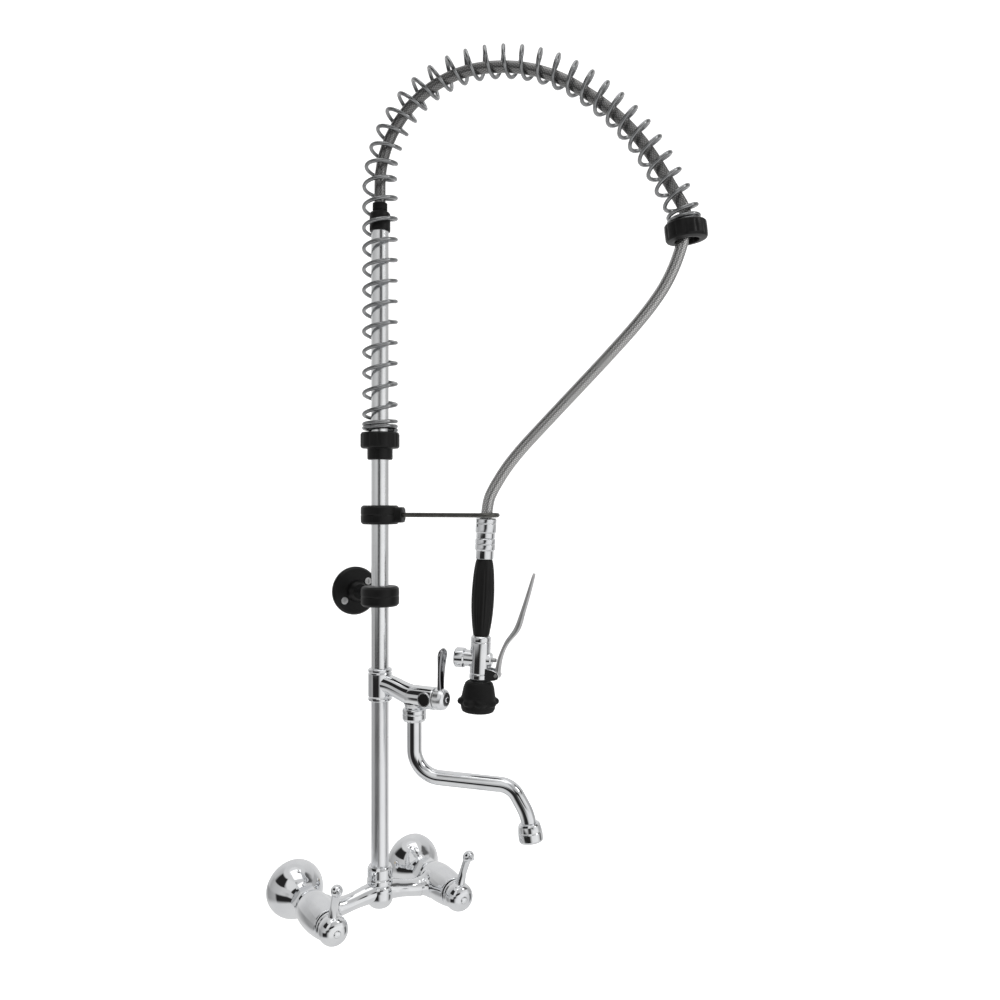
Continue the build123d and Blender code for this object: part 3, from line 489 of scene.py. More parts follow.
# ------------------------------------------------------------------ the open coil spring
SP = [(0, 555.6), (0, 992.0), (196.8, 992.0), (308.8, 910.6), (361.5, 802.6), (364.4, 781.6)]
sp_pts = fillet_path([COL + u * a + UP * b for a, b in SP], [134, 188, 300, 58], 1.5)
# densify the straights too
dense = [sp_pts[0]]
for a, b in zip(sp_pts, sp_pts[1:]):
    m = max(1, int((b - a).length / 1.5))
    for k in range(1, m + 1):
        dense.append(a + (b - a) * (k / m))
arc = [0.0]
for a, b in zip(dense, dense[1:]):
    arc.append(arc[-1] + (b - a).length)
LEN = arc[-1]
arc_np = np.array(arc)
den_np = np.array([list(p) for p in dense])
S_ARCH = 305.0  # where the coils leave the pipe


def spine(s_):
    s_ = min(max(s_, 0.0), LEN)
    p = Vector([float(np.interp(s_, arc_np, den_np[:, i])) for i in range(3)])
    e = 3.0
    a = Vector([float(np.interp(max(s_ - e, 0), arc_np, den_np[:, i])) for i in range(3)])
    b = Vector([float(np.interp(min(s_ + e, LEN), arc_np, den_np[:, i])) for i in range(3)])
    return p, (b - a).normalized()


def pitch_at(s_):
    if s_ < 9 or s_ > LEN - 9:
        return 4.6
    base = 25.2 if s_ < S_ARCH else 21.2
    edge = min(s_ - 9, LEN - 9 - s_)
    return base if edge > 14 else 4.6 + (base - 4.6) * (edge / 14)


def coil_r(s_):
    f = min(max((s_ - 285) / 60, 0), 1)
    f = f * f * (3 - 2 * f)
    return 19.5 + (16.9 - 19.5) * f


WIRE = 2.35
coil = []
s_, th = WIRE + 0.3, rad(200)
STEP = rad(11)
while s_ < LEN - WIRE - 0.3:
    p, t = spine(s_)
    n1 = (nrm.cross(t)).normalized()
    r_ = coil_r(s_)
    coil.append(p + n1 * (r_ * cos(th)) + nrm * (r_ * sin(th)))
    th += STEP
    s_ += pitch_at(s_) * STEP / (2 * pi)
V_, F_, U_ = tube_mesh(coil, WIRE, seg=12)
spring = make_obj("coil_spring", V_, F_, "spring_wire", "spray_arm", sharp=50, uvs=U_, replaces=("arch_spring",))

# ------------------------------------------------------------------ mixer
bell_out = smooth([(35.0, 0.2), (35.2, 4), (34.6, 10), (32.4, 17), (28.4, 24.2), (23, 30.2), (18.2, 34.6), (15.4, 38.2)], 6)
bell_in = smooth([(14.3, 38.4), (16.8, 34.0), (21.6, 29.8), (27.0, 24.0), (31.0, 17.2), (33.3, 10.6), (34.0, 4.6), (33.8, 0.2)], 5)
for tag, F, sx in (("hot", HOT, -1), ("cold", COLD, 1)):
    root = "root"
    prof = [(34.9, 0.0)] + bell_out + bell_in
    V_, F_ = lathe_mesh(F, prof, 96, closed=True)
    make_obj(f"bell_{tag}", V_, F_, "chrome", root, sharp=40, replaces=(f"escutcheon_{tag}",))
    # barrel with its side shoulder
    body = [(8, 46), (12.6, 46), (13.1, 46.6), (13.1, 53.6)] + smooth(
        [(14.6, 54.4), (16.9, 56.4), (18.7, 60), (20.4, 67), (21.3, 76), (21.4, 86), (20.8, 97), (19.6, 108), (18.3, 115.4)], 5) + \
        rounded([(18.3, 115.4), (17.6, 119.0, 1.6), (12.0, 119.0)], 1.2)
    b1 = lathe_mesh(F, body, 72)
    SIDE = Frame3((sx * VALVE_X, -COL_Y, AXIS_Z), (0, 1, 0), (-sx, 0, 0))
    neck = smooth([(17.5, 10), (16.4, 15.5), (13.4, 20), (11.6, 24.5), (11.2, 29)], 5)
    b2 = lathe_mesh(SIDE, neck, 48)
    V_, F_ = join(b1, b2)
    make_obj(f"barrel_{tag}", V_, F_, "chrome", root, sharp=38, replaces=(f"valve_body_{tag}",))
    # lever: stepped hub with a domed nose, waisted arm, ball end with a small tip
    hub = rounded([(10, 121.3), (16.4, 121.3), (17, 122.4), (17, 124.6), (15.4, 125.4), (15.4, 126.2)], 0.5) + smooth(
        [(16.4, 127.2), (17, 131), (16.4, 136.6), (14.0, 141.0), (9.6, 143.7), (4.3, 144.8)], 5) + [(4.15, 144.4), (4.15, 141.6)]
    h1 = lathe_mesh(F, hub, 64)
    p0 = Vector((sx * VALVE_X, -131, AXIS_Z + 6))
    p1 = Vector((sx * VALVE_X + (7.0 if sx > 0 else 0.0), -143, AXIS_Z + (51 if sx > 0 else 48)))
    path = [p0 + (p1 - p0) * (k / 16) + Vector((0, 1.8 * sin(pi * k / 16), 0)) for k in range(17)]
    rads = [8.4 - 4.2 * min(1, (k / 16) * 1.9) ** 0.6 + (0.5 * (k / 16)) for k in range(17)]
    h2 = tube_mesh(path, rads, 28)[:2]
    d = (p1 - p0).normalized()
    h3 = ball_mesh(p1, 6.8, 36, 18, Frame3((0, 0, 0), (1, 0, 0), d))
    TIP = Frame3(p1 + Vector((0, -4, 0.5)), (1, 0, 0), (0, -1, 0))
    h4 = lathe_mesh(TIP, rounded([(3.6, 0), (3.5, 1.4), (2.2, 3.4, 1.0), (2.4, 5.2, 1.0), (1.9, 7.3, 0.8), (0, 7.5)], 0.7), 24)
    V_, F_ = join(h1, h2, h3, h4)
    make_obj(f"handle_{tag}", V_, F_, "chrome", f"{tag}_lever", sharp=38, replaces=(f"lever_{tag}",))

# yoke: curved arms, bulb and threaded neck
parts = []
for sx in (-1, 1):
    pts = []
    for k in range(25):
        f = k / 24
        x = sx * ((VALVE_X - 27) * (1 - f) + 3 * f)
        pts.append(Vector((x, -COL_Y, AXIS_Z + 7 * (f * f * (3 - 2 * f)))))
    rads = [11.3 - 1.3 * sin(pi * min(1, k / 16)) + (2.6 * max(0, (k - 16) / 8) ** 2) for k in range(25)]
    parts.append(tube_mesh(pts, rads, 40)[:2])
parts.append(lathe_mesh(COLUMN, smooth([(0.01, AXIS_Z - 13), (7, AXIS_Z - 12.5), (12.4, AXIS_Z - 9.4), (15.6, AXIS_Z - 3), (16, AXIS_Z + 5),
                                        (14.8, AXIS_Z + 12), (12.9, AXIS_Z + 15.2)], 6) + [(12.6, AXIS_Z + 15.6), (12.6, AXIS_Z + 26), (6.6, AXIS_Z + 26)], 56))
V_, F_ = join(*parts)
make_obj("yoke", V_, F_, "chrome", "root", sharp=38, replaces=("mixer_yoke",))

V_, F_ = lathe_mesh(COLUMN, rounded([(12.7, AXIS_Z + 16), (15, AXIS_Z + 16), (15.8, AXIS_Z + 17.4), (15.8, AXIS_Z + 22.4), (14.6, AXIS_Z + 23.6), (15.2, AXIS_Z + 25),
                                     (15.2, AXIS_Z + 35.4), (13.6, AXIS_Z + 38.4), (10.75, AXIS_Z + 38.4)], 0.6), 64)
make_obj("foot_nut", V_, F_, "chrome", "root", sharp=38, replaces=("column_nut",))

for name, z0, z1 in (("riser_lower", AXIS_Z + 28, Z_TEE - 9), ("riser_upper", Z_TEE + 8, Z_PIPE_TOP)):
    n = 40
    prof = [(8.2, z0)] + [(PIPE_R, z0 + (z1 - z0) * k / n) for k in range(n + 1)] + [(8.2, z1)]
    V_, F_ = lathe_mesh(COLUMN, prof, 72, closed=True)
    make_obj(name.replace("riser", "pipe"), V_, F_, "tube_polish" if name == "riser_upper" else "tube_chrome", "root", sharp=38, replaces=(name,))

# ------------------------------------------------------------------ spout valve
tee = lathe_mesh(COLUMN, rounded([(PIPE_R + 0.1, Z_TEE - 21), (13.6, Z_TEE - 21), (14.5, Z_TEE - 20), (14.5, Z_TEE - 17.6), (13.7, Z_TEE - 16.6), (14.5, Z_TEE - 15),
                                  (14.5, Z_TEE + 12), (13.7, Z_TEE + 13.6), (14.5, Z_TEE + 14.6), (14.5, Z_TEE + 17), (13.6, Z_TEE + 18), (PIPE_R + 0.1, Z_TEE + 18)], 0.6), 64)
arm_pts, arm_r = [], []
for k in range(21):
    f = k / 20
    g = f * f * (3 - 2 * f)
    arm_pts.append(COL + v * (6 + 48 * f) + UP * (Z_TEE - 11 * g))
    arm_r.append(12.1 - 1.0 * sin(pi * f) + 1.3 * f)
arm = tube_mesh(arm_pts, arm_r, 48)[:2]
barrel = lathe_mesh(SV, smooth([(12.6, 44), (13.3, 49), (13.4, 60), (13.4, 70), (13.4, 77)], 4) + rounded([(13.4, 77), (13.4, 80.4, 1.6), (9.5, 80.4)], 1.0), 64)
drop = lathe_mesh(SWV, [(9.1, Z_VALVE - 24.6), (10.9, Z_VALVE - 24.6), (10.9, Z_VALVE - 15)] + smooth([(10.9, Z_VALVE - 14), (11.6, Z_VALVE - 12), (12.4, Z_VALVE - 8)], 4), 56)
PLUG = Frame3(COL + v * 71.5 + UP * Z_VALVE, v, side)
ring = lathe_mesh(PLUG, rounded([(8.6, 9.6), (8.6, 13.9), (7.1, 13.9), (7.1, 12.0)], 0.4), 48)
V_, F_ = join(tee, arm, barrel, drop, ring)
make_obj("spout_valve", V_, F_, "chrome", "root", sharp=38, replaces=("spout_valve_body",))
V_, F_ = lathe_mesh(PLUG, rounded([(6.98, 9.8), (6.98, 14.3), (6.0, 14.7, 0.6), (3.6, 14.3), (0, 14.2)], 0.4), 40)
make_obj("index_button", V_, F_, "black_rubber", "root", sharp=40, replaces=("spout_index_plug",))

hub = lathe_mesh(SV, rounded([(8.95, 81.3), (12.2, 81.3), (12.8, 82.2), (12.8, 88.8), (11.6, 92.8, 3), (8, 95.0, 3), (3.45, 95.5), (3.4, 92.8)], 0.6), 56)
bl_v, bl_f = [], []
rows = []
for k in range(25):
    f = k / 24
    h = 4 + 56 * f
    w = 4.7 + 3.8 * f ** 1.15
    t = 3.5 - 1.3 * sin(pi * min(f * 1.15, 1)) + 0.2 * f
    if k > 20:
        e = (k - 20) / 4
        w *= math.sqrt(max(1 - e * e * 0.92, 0.02))
        t *= math.sqrt(max(1 - e * e * 0.92, 0.02))
    c = COL + v * (86.8 + 3.2 * f * f) + UP * (Z_VALVE + h)
    row = []
    for j in range(28):
        a = 2 * pi * j / 28
        ca, sa = cos(a), sin(a)
        q = 2 / 3.0
        x = w * math.copysign(abs(ca) ** q, ca)
        y = t * math.copysign(abs(sa) ** q, sa)
        row.append(len(bl_v))
        bl_v.append(c + side * x + v * y)
    rows.append(row)
for A, B in zip(rows, rows[1:]):
    for j in range(28):
        j2 = (j + 1) % 28
        bl_f.append((A[j], A[j2], B[j2], B[j]))
bl_f.append(tuple(reversed(rows[0])))
bl_f.append(tuple(rows[-1]))
make_obj("spout_blade", bl_v, bl_f, "dark_chrome", "spout_lever", sharp=38)
V_, F_ = hub
make_obj("spout_handle", V_, F_, "tube_chrome", "spout_lever", sharp=38, replaces=("spout_lever",))

# ------------------------------------------------------------------ spout
Z_NUT = Z_VALVE - 14.4
V_, F_ = lathe_mesh(SWV, rounded([(10.95, Z_NUT), (13.4, Z_NUT), (14.3, Z_NUT - 1.4), (14.3, Z_NUT - 5), (13.6, Z_NUT - 5.8), (14.3, Z_NUT - 6.6), (14.3, Z_NUT - 11.6),
                                  (12.6, Z_NUT - 15), (8.95, Z_NUT - 15)], 0.6), 64)
make_obj("swivel_nut", V_, F_, "chrome", "root", sharp=38, replaces=("spout_nut",))
sp_route = [(0, Z_VALVE - 17), (0, DATUM + 145), (119, DATUM + 140.5), (137.8, DATUM + 108), (141, DATUM + 87)]
pts = fillet_path([SWIVEL + s_dir * a + UP * b for a, b in sp_route], [32, 24, 60], 2.0)
V_, F_, U_ = tube_mesh(pts, 8.8, 48, up=nrm, caps=True)
make_obj("spout_pipe", V_, F_, "chrome", "spout", sharp=50, replaces=("spout_tube",))
e_dir = (s_dir * 3.2 + UP * -21).normalized()
AER = Frame3(SWIVEL + s_dir * 141 + UP * (DATUM + 87), e_dir.cross(nrm), e_dir)
V_, F_ = lathe_mesh(AER, rounded([(8.85, -12), (11.4, -12), (12.9, -9.8), (14.0, -3.4), (13.6, -2.4), (14.3, -1.4), (14.3, 6.6), (13.4, 8.9), (11.05, 8.9), (11.05, 1.3)], 0.6), 72,
                    flute=(24, 0.5, -1.0, 6.4, 1.0))
make_obj("aerator_ring", V_, F_, "chrome", "spout", sharp=38, replaces=("aerator_collar",))

# ------------------------------------------------------------------ wall bracket
wc = lathe_mesh(COLUMN, rounded([(PIPE_R + 0.1, Z_BRACKET - 12), (20.8, Z_BRACKET - 12), (23.2, Z_BRACKET - 9.4), (23.4, Z_BRACKET - 1.4, 0.3), (22.8, Z_BRACKET, 0.3), (23.4, Z_BRACKET + 1.4, 0.3),
                                 (23.2, Z_BRACKET + 9.4), (20.8, Z_BRACKET + 12), (PIPE_R + 0.1, Z_BRACKET + 12)], 1.6), 72)
BOSS = Frame3((0, -COL_Y + 17, Z_BRACKET), (1, 0, 0), (0, 1, 0))
wb = lathe_mesh(BOSS, rounded([(9.5, 0), (9.5, 10.6), (8.2, 12), (5.1, 12)], 0.8), 40)
V_, F_ = join(wc, wb)
make_obj("bracket_clamp", V_, F_, "black_plastic", "root", sharp=40, replaces=("wall_clamp",))
ROD = Frame3((0, -COL_Y + 15.2, Z_BRACKET), (1, 0, 0), (0, 1, 0))
V_, F_ = lathe_mesh(ROD, rounded([(0, 0), (5, 0), (5, COL_Y - 21.3), (0, COL_Y - 21.3)], 0.4), 40)
make_obj("bracket_rod", V_, F_, "chrome", "root", sharp=38, replaces=("wall_rod",))

# ------------------------------------------------------------------ black fittings on the riser
V_, F_ = lathe_mesh(COLUMN, rounded([(PIPE_R + 0.1, Z_COLLAR - 14), (14.4, Z_COLLAR - 14), (15.4, Z_COLLAR - 12.8), (15.4, Z_COLLAR - 0.6), (22.2, Z_COLLAR), (23.7, Z_COLLAR + 2.0),
                                     (23.7, Z_COLLAR + 17.0), (22.2, Z_COLLAR + 19.3), (18, Z_COLLAR + 19.3), (18, Z_COLLAR + 13), (PIPE_R + 0.1, Z_COLLAR + 13)], 0.9), 144,
                    flute=(12, 1.5, Z_COLLAR + 1.0, Z_COLLAR + 18.6, 6.0))
make_obj("spring_foot", V_, F_, "black_plastic", "spray_arm", sharp=40, replaces=("spring_base_collar",))
V_, F_ = lathe_mesh(EC, rounded([(19.7, -6), (22.2, -6), (23.6, -4.4), (24.0, 2), (23.8, 10.8), (22.4, 13.4), (17, 14.5), (13.9, 14.5), (13.5, 9), (10.9, 4)], 1.0), 144,
                    flute=(12, 1.2, -3.5, 12.0, 6.0))
make_obj("spring_end", V_, F_, "black_plastic", "spray_arm", sharp=40, replaces=("spring_end_collar",))
V_, F_ = lathe_mesh(COLUMN, rounded([(PIPE_R + 0.05, Z_PIPE_TOP - 9), (12.2, Z_PIPE_TOP - 9), (12.6, Z_PIPE_TOP - 7.4), (12.6, Z_PIPE_TOP + 12), (11.4, Z_PIPE_TOP + 14), (8.25, Z_PIPE_TOP + 14)], 0.8), 72,
                    flute=(18, 0.5, Z_PIPE_TOP - 7, Z_PIPE_TOP + 11.6, 2.0))
make_obj("top_union", V_, F_, "black_plastic", "root", sharp=40, replaces=("pipe_top_union",))

# ------------------------------------------------------------------ hook
hr = lathe_mesh(COLUMN, rounded([(PIPE_R + 0.1, Z_HOOK - 11.5), (20.8, Z_HOOK - 11.5), (23.2, Z_HOOK - 9), (23.4, Z_HOOK - 1.4, 0.3), (22.8, Z_HOOK, 0.3), (23.4, Z_HOOK + 1.4, 0.3), (23.2, Z_HOOK + 9),
                                 (20.8, Z_HOOK + 11.5), (PIPE_R + 0.1, Z_HOOK + 11.5)], 1.6), 72)
HB = Frame3(COL + u * 16 + UP * Z_HOOK, UP, u)
bx_v, bx_f = [], []
levels = [(9.5, 0), (9.5, 11.6), (9.1, 13.2), (8.2, 13.95)]
rws = []
for hw, t in levels:
    row = []
    rr = 4.2
    for cx, cy, a0 in ((1, 1, 0), (-1, 1, 90), (-1, -1, 180), (1, -1, 270)):
        for k in range(7):
            a = rad(a0 + 15 * k)
            row.append(len(bx_v))
            bx_v.append(HB.at(cx * (hw - rr) + rr * cos(a), t, cy * (hw - rr) + rr * sin(a)))
    rws.append(row)
for A, B in zip(rws, rws[1:]):
    for k in range(len(A)):
        k2 = (k + 1) % len(A)
        bx_f.append((A[k], A[k2], B[k2], B[k]))
bx_f.append(tuple(rws[-1]))
V_, F_ = join(hr, (bx_v, bx_f))
make_obj("hook_clamp", V_, F_, "black_plastic", "hook", sharp=35, replaces=("hook_ring",))
hy = Vector((-u.y, u.x, 0))


def hk(x, y):
    return COL + u * x + hy * y + UP * Z_HOOK


a0 = rad(-96)
T0 = (133.8 + 12.95 * cos(a0), 12.95 * sin(a0))
hpts = [hk(16 + (T0[0] - 16) * k / 12, -1.04 + (T0[1] + 1.04) * k / 12) for k in range(12)]
hpts += [hk(133.8 + 12.95 * cos(a0 + rad(246) * k / 40), 12.95 * sin(a0 + rad(246) * k / 40)) for k in range(41)]
hrad = [2.75] * (len(hpts) - 3) + [2.6, 2.2, 1.4]
V_, F_, U_ = tube_mesh(hpts, hrad, 24, up=UP)
make_obj("hook_rod", V_, F_, "rod_steel", "hook", sharp=45, replaces=("hook_arm",))

# ------------------------------------------------------------------ spray gun
V_, F_ = lathe_mesh(GUN, rounded([(7.2, -3.4), (11.2, -3.4), (12.4, -4.8), (12.4, -9.4), (11.9, -10), (12.4, -10.6), (12.4, -19.8), (11.8, -20.7), (11.2, -21.2), (11.2, -27.3), (5, -27.3)], 0.6), 64)
make_obj("ferrule", V_, F_, "chrome", "gun", sharp=38, replaces=("hose_ferrule",))
V_, F_ = lathe_mesh(GUN, rounded([(5, -27.6), (11.0, -27.6), (12, -28.7), (12, -33.6), (11.5, -34.3), (12, -35), (12, -40.4), (11.4, -41.4), (10.7, -42.2), (10.6, -52.0), (7, -52.0)], 0.7), 64)
make_obj("coupling", V_, F_, "chrome", "gun", sharp=38, replaces=("gun_coupling",))
gp = smooth([(9.3, -52.3), (10.3, -55.4), (11.3, -61), (12.3, -70), (13.2, -84), (13.5, -97), (13.2, -110), (12.2, -123.4), (10.8, -134.6), (9.5, -142.4)], 8)
V_, F_ = lathe_mesh(GUN, [(7.1, -52.2)] + gp + [(7.1, -142.9)], 160, flute=(16, 0.55, -139.0, -57.0, 3.0))
make_obj("grip", V_, F_, "grip_plastic", "gun", sharp=50, replaces=("gun_grip",))
nk = lathe_mesh(GUN, rounded([(7, -143.2), (10.6, -143.2), (12.0, -145), (12.0, -149.6), (11.5, -150.4), (12.1, -151.2), (12.1, -187), (11.6, -188), (12.1, -189), (12.1, -193.6),
                              (10.4, -196.8), (10.4, -202.9), (0, -202.9)], 0.7), 64)
cr_ = lathe_mesh(CROSS, rounded([(2.6, -14.6), (7.2, -14.6), (8.4, -13.2), (8.4, -9), (10.2, -6), (10.2, 3), (10, 10), (10, 19)], 0.8), 56)
ear_v, ear_f = [], []
outline = rounded([(6, -180), (18, -182), (23.4, -184.2), (25.6, -188.4), (24, -192.4), (20, -193.6), (6, -196)], 2.0, 4)
for k in (-1, 1):
    zc = k * 7.6
    rws = []
    for inset, zz in ((0.5, -1.2), (0.0, -0.8), (0.0, 0.8), (0.5, 1.2)):
        cx = sum(p[0] for p in outline) / len(outline)
        cy = sum(p[1] for p in outline) / len(outline)
        row = []
        for (x, y) in outline:
            d = Vector((x - cx, y - cy))
            d = d * (1 - inset / max(d.length, 1))
            row.append(len(ear_v))
            ear_v.append(GUN.o + GUN.x * (cx + d.x) + GUN.y * (cy + d.y) + nrm * (zc + zz))
        rws.append(row)
    for A, B in zip(rws, rws[1:]):
        for j in range(len(A)):
            j2 = (j + 1) % len(A)
            ear_f.append((A[j], A[j2], B[j2], B[j]))
    ear_f.append(tuple(reversed(rws[0])))
    ear_f.append(tuple(rws[-1]))
V_, F_ = join(nk, cr_, (ear_v, ear_f))
make_obj("gun_housing", V_, F_, "chrome", "gun", sharp=35, replaces=("gun_body",))
V_, F_ = lathe_mesh(CROSS, rounded([(0, 30.5), (6, 30.5, 0.3), (6.6, 29.8, 0.3), (7.4, 30.4, 0.3), (10.4, 30.5), (11.9, 28.9), (11.9, 19.6), (11, 18.1), (10.1, 18.1)], 0.7), 64)
make_obj("side_cap", V_, F_, "chrome", "gun", sharp=38, replaces=("valve_cap",))

# squeeze lever: pressed strip with rolled edges
outer = smooth([(25.4, -189.6), (25.6, -180), (27.6, -166), (33.6, -151), (46.6, -133), (52.4, -111), (57.8, -88), (62.2, -66)], 8)
inner = smooth([(17.9, -188.6), (19.8, -179), (22.9, -165), (29.6, -147.6), (39.9, -131), (46.9, -110), (53.7, -86), (59.5, -65)], 8)
lv_v, lv_f = [], []
rws = []
nseg = len(outer)
for i, (o, n_) in enumerate(zip(outer, inner)):
    f = i / (nseg - 1)
    half = 5.9 if f < 0.2 else 5.9 - 0.9 * (f - 0.2)
    if f > 0.93:
        half *= math.sqrt(max(1 - ((f - 0.93) / 0.075) ** 2, 0.12))
    co_, ci = Vector(o), Vector(n_)
    mid = (co_ + ci) / 2
    hd = (co_ - ci) / 2
    row = []
    for j in range(24):
        a = 2 * pi * j / 24
        ca, sa = cos(a), sin(a)
        x = math.copysign(abs(ca) ** 0.55, ca)
        y = math.copysign(abs(sa) ** 0.45, sa)
        pt = mid + hd * (x * 0.98)
        row.append(len(lv_v))
        lv_v.append(GUN.o + GUN.x * pt.x + GUN.y * pt.y + nrm * (half * y))
    rws.append(row)
for A, B in zip(rws, rws[1:]):
    for j in range(24):
        j2 = (j + 1) % 24
        lv_f.append((A[j], A[j2], B[j2], B[j]))
lv_f.append(tuple(reversed(rws[0])))
lv_f.append(tuple(rws[-1]))
PIVOT = Frame3(GUN.o + GUN.x * 21.4 + GUN.y * -188 - nrm * 6, GUN.x, nrm)
eye = lathe_mesh(PIVOT, rounded([(2.05, 0), (4.1, 0), (4.1, 12), (2.05, 12)], 0.4), 36, closed=True)
V_, F_ = join((lv_v, lv_f), eye)
make_obj("trigger", V_, F_, "lever_steel", "squeeze_lever", sharp=50, replaces=("squeeze_lever",))

# rubber head with a ring of lugs
bp = rounded([(10.5, -197.3), (13.8, -197.3), (16.4, -199.2, 2), (18.4, -205, 3), (19.6, -212, 3), (20.4, -216.0, 1), (24.3, -218.6, 1), (25.1, -221, 1.2), (24.3, -223.4, 1), (20.7, -225.4, 1),
              (20.3, -229.2, 2), (18.9, -232.4, 1.4), (17.3, -233.3, 1), (16.6, -233.3), (16.6, -227)], 0.8, 5)
V_, F_ = lathe_mesh(GUN, bp, 160, flute=(8, 3.4, -225.4, -216.2, 1.4))
make_obj("rubber_head", V_, F_, "black_rubber", "gun", sharp=45, replaces=("bumper",))

# ------------------------------------------------------------------ materials of the carried-over CAD nodes
KEEP = {"union_nuts": "chrome", "inlet_union_hot": "brass", "inlet_union_cold": "brass", "headwork_hot": "brass", "headwork_cold": "brass", "spindle_hot": "brass",
        "spindle_cold": "brass", "spout_headwork": "brass", "spout_spindle": "brass", "valve_stem": "stainless", "inlet_gaskets": "gasket", "column_gasket": "gasket",
        "wall_flange": "black_plastic", "wall_screws": "stainless", "lever_screw_hot": "chrome", "lever_screw_cold": "chrome", "spout_lever_screw": "chrome",
        "hose_crimp": "black_rubber", "lever_pin": "stainless", "valve_spring": "stainless", "nozzle_plate": "grey_plastic", "aerator_insert": "grey_plastic"}
for name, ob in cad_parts.items():
    if name in KEEP:
        ob.data.materials.clear()
        ob.data.materials.append(MATS[KEEP[name]])

# ------------------------------------------------------------------ stage and light
# a pale floor low behind the object that only fills what the camera sees, and a curved backdrop rising from it
sv, sf = [], []
BACK = view_dir
prof = [(0.32, -0.42)] + [(3.2, -0.42)] + [(3.2 + 1.6 * sin(rad(9 * k)), 1.18 - 1.6 * cos(rad(9 * k))) for k in range(1, 11)] + [(4.8, 5.0)]
rows = []
for d, z in prof:
    c = Vector((0, -COL_Y * MM, 0)) + BACK * d + UP * z
    half = 1.3 + d * 0.95
    rows.append((len(sv), len(sv) + 1))
    sv += [tuple(c - right * half), tuple(c + right * half)]
for (a1, b1), (a2, b2) in zip(rows, rows[1:]):
    sf.append((a1, b1, b2, a2))
floor = bpy.data.meshes.new("floor")
floor.from_pydata(sv, [], sf)
for p in floor.polygons:
    p.use_smooth = True
fo = bpy.data.objects.new("floor", floor)
bpy.context.scene.collection.objects.link(fo)
m, nt, b = new_mat("floor")
n1 = noise(nt, 1.5, 3.0)
nt.links.new(ramp(nt, n1.outputs[0], [(0.2, (0.90, 0.90, 0.90)), (0.8, (0.92, 0.92, 0.92))]).outputs[0], b.inputs["Base Color"])
b.inputs["Roughness"].default_value = 0.9
b.inputs["Specular IOR Level"].default_value = 0.0
b.inputs["Emission Color"].default_value = (1, 1, 1, 1)
b.inputs["Emission Strength"].default_value = 0.64
floor.materials.append(m)
fo.visible_glossy = False

# plain pale surround for every other viewing side: seen directly, and left out of reflections and light
dv, df = [], []
for i in range(25):
    for j in range(48):
        la, lo_ = pi * i / 24, 2 * pi * j / 48
        dv.append((14 * sin(la) * cos(lo_), 14 * sin(la) * sin(lo_), 14 * cos(la) + 0.4))
for i in range(24):
    for j in range(48):
        df.append((i * 48 + j, i * 48 + (j + 1) % 48, (i + 1) * 48 + (j + 1) % 48, (i + 1) * 48 + j))
dome = bpy.data.meshes.new("surround")
dome.from_pydata(dv, [], df)
for p in dome.polygons:
    p.use_smooth = True
do = bpy.data.objects.new("surround", dome)
bpy.context.scene.collection.objects.link(do)
m, nt, b = new_mat("surround")
b.inputs["Base Color"].default_value = (0, 0, 0, 1)
b.inputs["Specular IOR Level"].default_value = 0.0
b.inputs["Emission Color"].default_value = (1, 1, 1, 1)
b.inputs["Emission Strength"].default_value = 0.86
dome.materials.append(m)
do.visible_glossy = do.visible_diffuse = do.visible_transmission = do.visible_shadow = False

w = bpy.data.worlds.new("studio")
bpy.context.scene.world = w
w.use_nodes = True
nt = w.node_tree
for n in list(nt.nodes):
    nt.nodes.remove(n)
out = nt.nodes.new("ShaderNodeOutputWorld")
bg = nt.nodes.new("ShaderNodeBackground")
nt.links.new(bg.outputs[0], out.inputs[0])
tc = nt.nodes.new("ShaderNodeTexCoord")
rot = nt.nodes.new("ShaderNodeMapping")
rot.inputs["Rotation"].default_value = (0, 0, rad(122))  # +X of the result points from the object to the photographer
nt.links.new(tc.outputs["Generated"], rot.inputs["Vector"])
sepw = nt.nodes.new("ShaderNodeSeparateXYZ")
nt.links.new(rot.outputs[0], sepw.inputs[0])


def wmath(op, a, b_=None, val=None):
    k = nt.nodes.new("ShaderNodeMath")
    k.operation = op
    nt.links.new(a, k.inputs[0])
    if b_ is not None:
        nt.links.new(b_, k.inputs[1])
    elif val is not None:
        k.inputs[1].default_value = val
    return k.outputs[0]


# turn: 0.5 = towards the photographer, >0.5 = the right-hand side of the picture, 0 and 1 = behind the object
turn = wmath("ADD", wmath("DIVIDE", wmath("ARCTAN2", sepw.outputs[1], sepw.outputs[0]), val=2 * pi), val=0.5)
g = lambda k: (k,) * 3


def tr(deg):
    return 0.5 + deg / 360


mid = ramp(nt, turn, [(0.0, g(0.74)), (tr(-128), g(0.70)), (tr(-100), g(0.40)), (tr(-70), g(0.50)), (tr(-38), g(0.62)), (tr(-22), g(0.45)), (tr(-13), g(0.05)), (tr(6), g(0.03)),
                      (tr(16), g(0.60)), (tr(30), g(0.85)), (tr(75), g(0.90)), (tr(98), g(0.45)), (tr(125), g(0.40)), (tr(150), g(0.70)), (1.0, g(0.74))])
low = ramp(nt, turn, [(0.0, g(0.74)), (tr(-132), g(0.62)), (tr(-112), g(0.30)), (tr(-78), g(0.40)), (tr(-70), g(0.42)), (tr(-62), g(0.02)), (tr(-8), g(0.02)),
                      (tr(2), g(0.42)), (tr(14), g(0.80)), (tr(60), g(0.90)), (tr(84), g(0.64)), (tr(92), g(0.14)), (tr(104), g(0.14)), (tr(114), g(0.55)), (tr(150), g(0.74))])
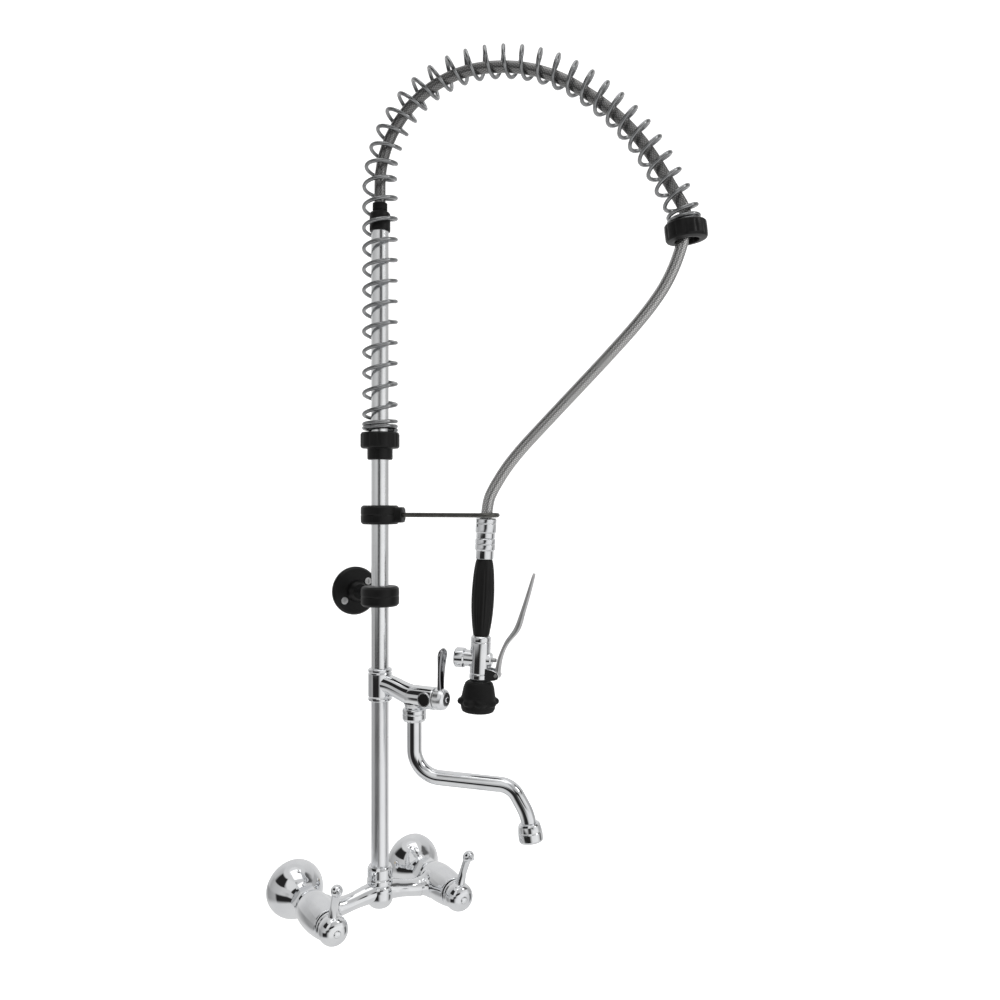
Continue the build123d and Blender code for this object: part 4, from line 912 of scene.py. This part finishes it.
high = ramp(nt, turn, [(0.0, g(0.74)), (tr(-140), g(0.70)), (tr(-96), g(0.50)), (tr(-84), g(0.02)), (tr(-34), g(0.02)), (tr(-26), g(0.76)), (tr(6), g(0.76)), (tr(14), g(0.30)),
                       (tr(24), g(0.50)), (tr(70), g(0.60)), (tr(84), g(0.12)), (tr(104), g(0.12)), (tr(116), g(0.6)), (1.0, g(0.74))])
upper = ramp(nt, turn, [(0.0, g(0.72)), (tr(-128), g(0.70)), (tr(-100), g(0.42)), (tr(-60), g(0.52)), (tr(-12), g(0.66)), (tr(3), g(0.50)), (tr(8), g(0.015)), (tr(34), g(0.015)),
                        (tr(42), g(0.70)), (tr(80), g(0.85)), (tr(98), g(0.45)), (tr(125), g(0.45)), (tr(150), g(0.70)), (1.0, g(0.72))])
for r_ in (mid, low, high, upper):
    r_.color_ramp.interpolation = "LINEAR"
z_ = sepw.outputs[2]


def step(lo, hi):
    k = nt.nodes.new("ShaderNodeMapRange")
    k.interpolation_type = "SMOOTHSTEP"
    k.inputs["From Min"].default_value, k.inputs["From Max"].default_value = lo, hi
    nt.links.new(z_, k.inputs["Value"])
    return k.outputs[0]


def mixc(fac, a, b_):
    k = nt.nodes.new("ShaderNodeMix")
    k.data_type = "RGBA"
    nt.links.new(fac, k.inputs["Factor"])
    for src, nm in ((a, "A"), (b_, "B")):
        if isinstance(src, tuple):
            k.inputs[nm].default_value = (*src, 1)
        else:
            nt.links.new(src, k.inputs[nm])
    return k.outputs["Result"]


c = mixc(step(-0.16, -0.04), low.outputs[0], mid.outputs[0])       # room walls below and above eye level
c = mixc(step(0.10, 0.17), c, upper.outputs[0])
c = mixc(step(0.34, 0.40), c, high.outputs[0])                       # window frames and dark corners high up
c = mixc(step(0.78, 0.84), c, g(0.68))                               # ceiling
c = mixc(step(0.93, 0.96), c, g(0.78))
c2 = mixc(step(-0.62, -0.40), g(0.70), c)                            # pale ground
nt.links.new(c2, bg.inputs["Color"])
bg.inputs["Strength"].default_value = 1.0


def area(name, loc, target_, size, power):
    ld = bpy.data.lights.new(name, "AREA")
    ld.shape = "RECTANGLE"
    ld.size, ld.size_y = size
    ld.energy = power
    lo = bpy.data.objects.new(name, ld)
    lo.location = loc
    lo.rotation_euler = (Vector(target_) - Vector(loc)).to_track_quat("-Z", "Y").to_euler()
    bpy.context.scene.collection.objects.link(lo)


area("key", (1.6, -2.2, 2.2), (0.1, -0.15, 0.45), (0.5, 0.9), 6)
area("top", (0.1, -0.6, 3.0), (0.1, -0.2, 0.4), (1.9, 1.9), 7)
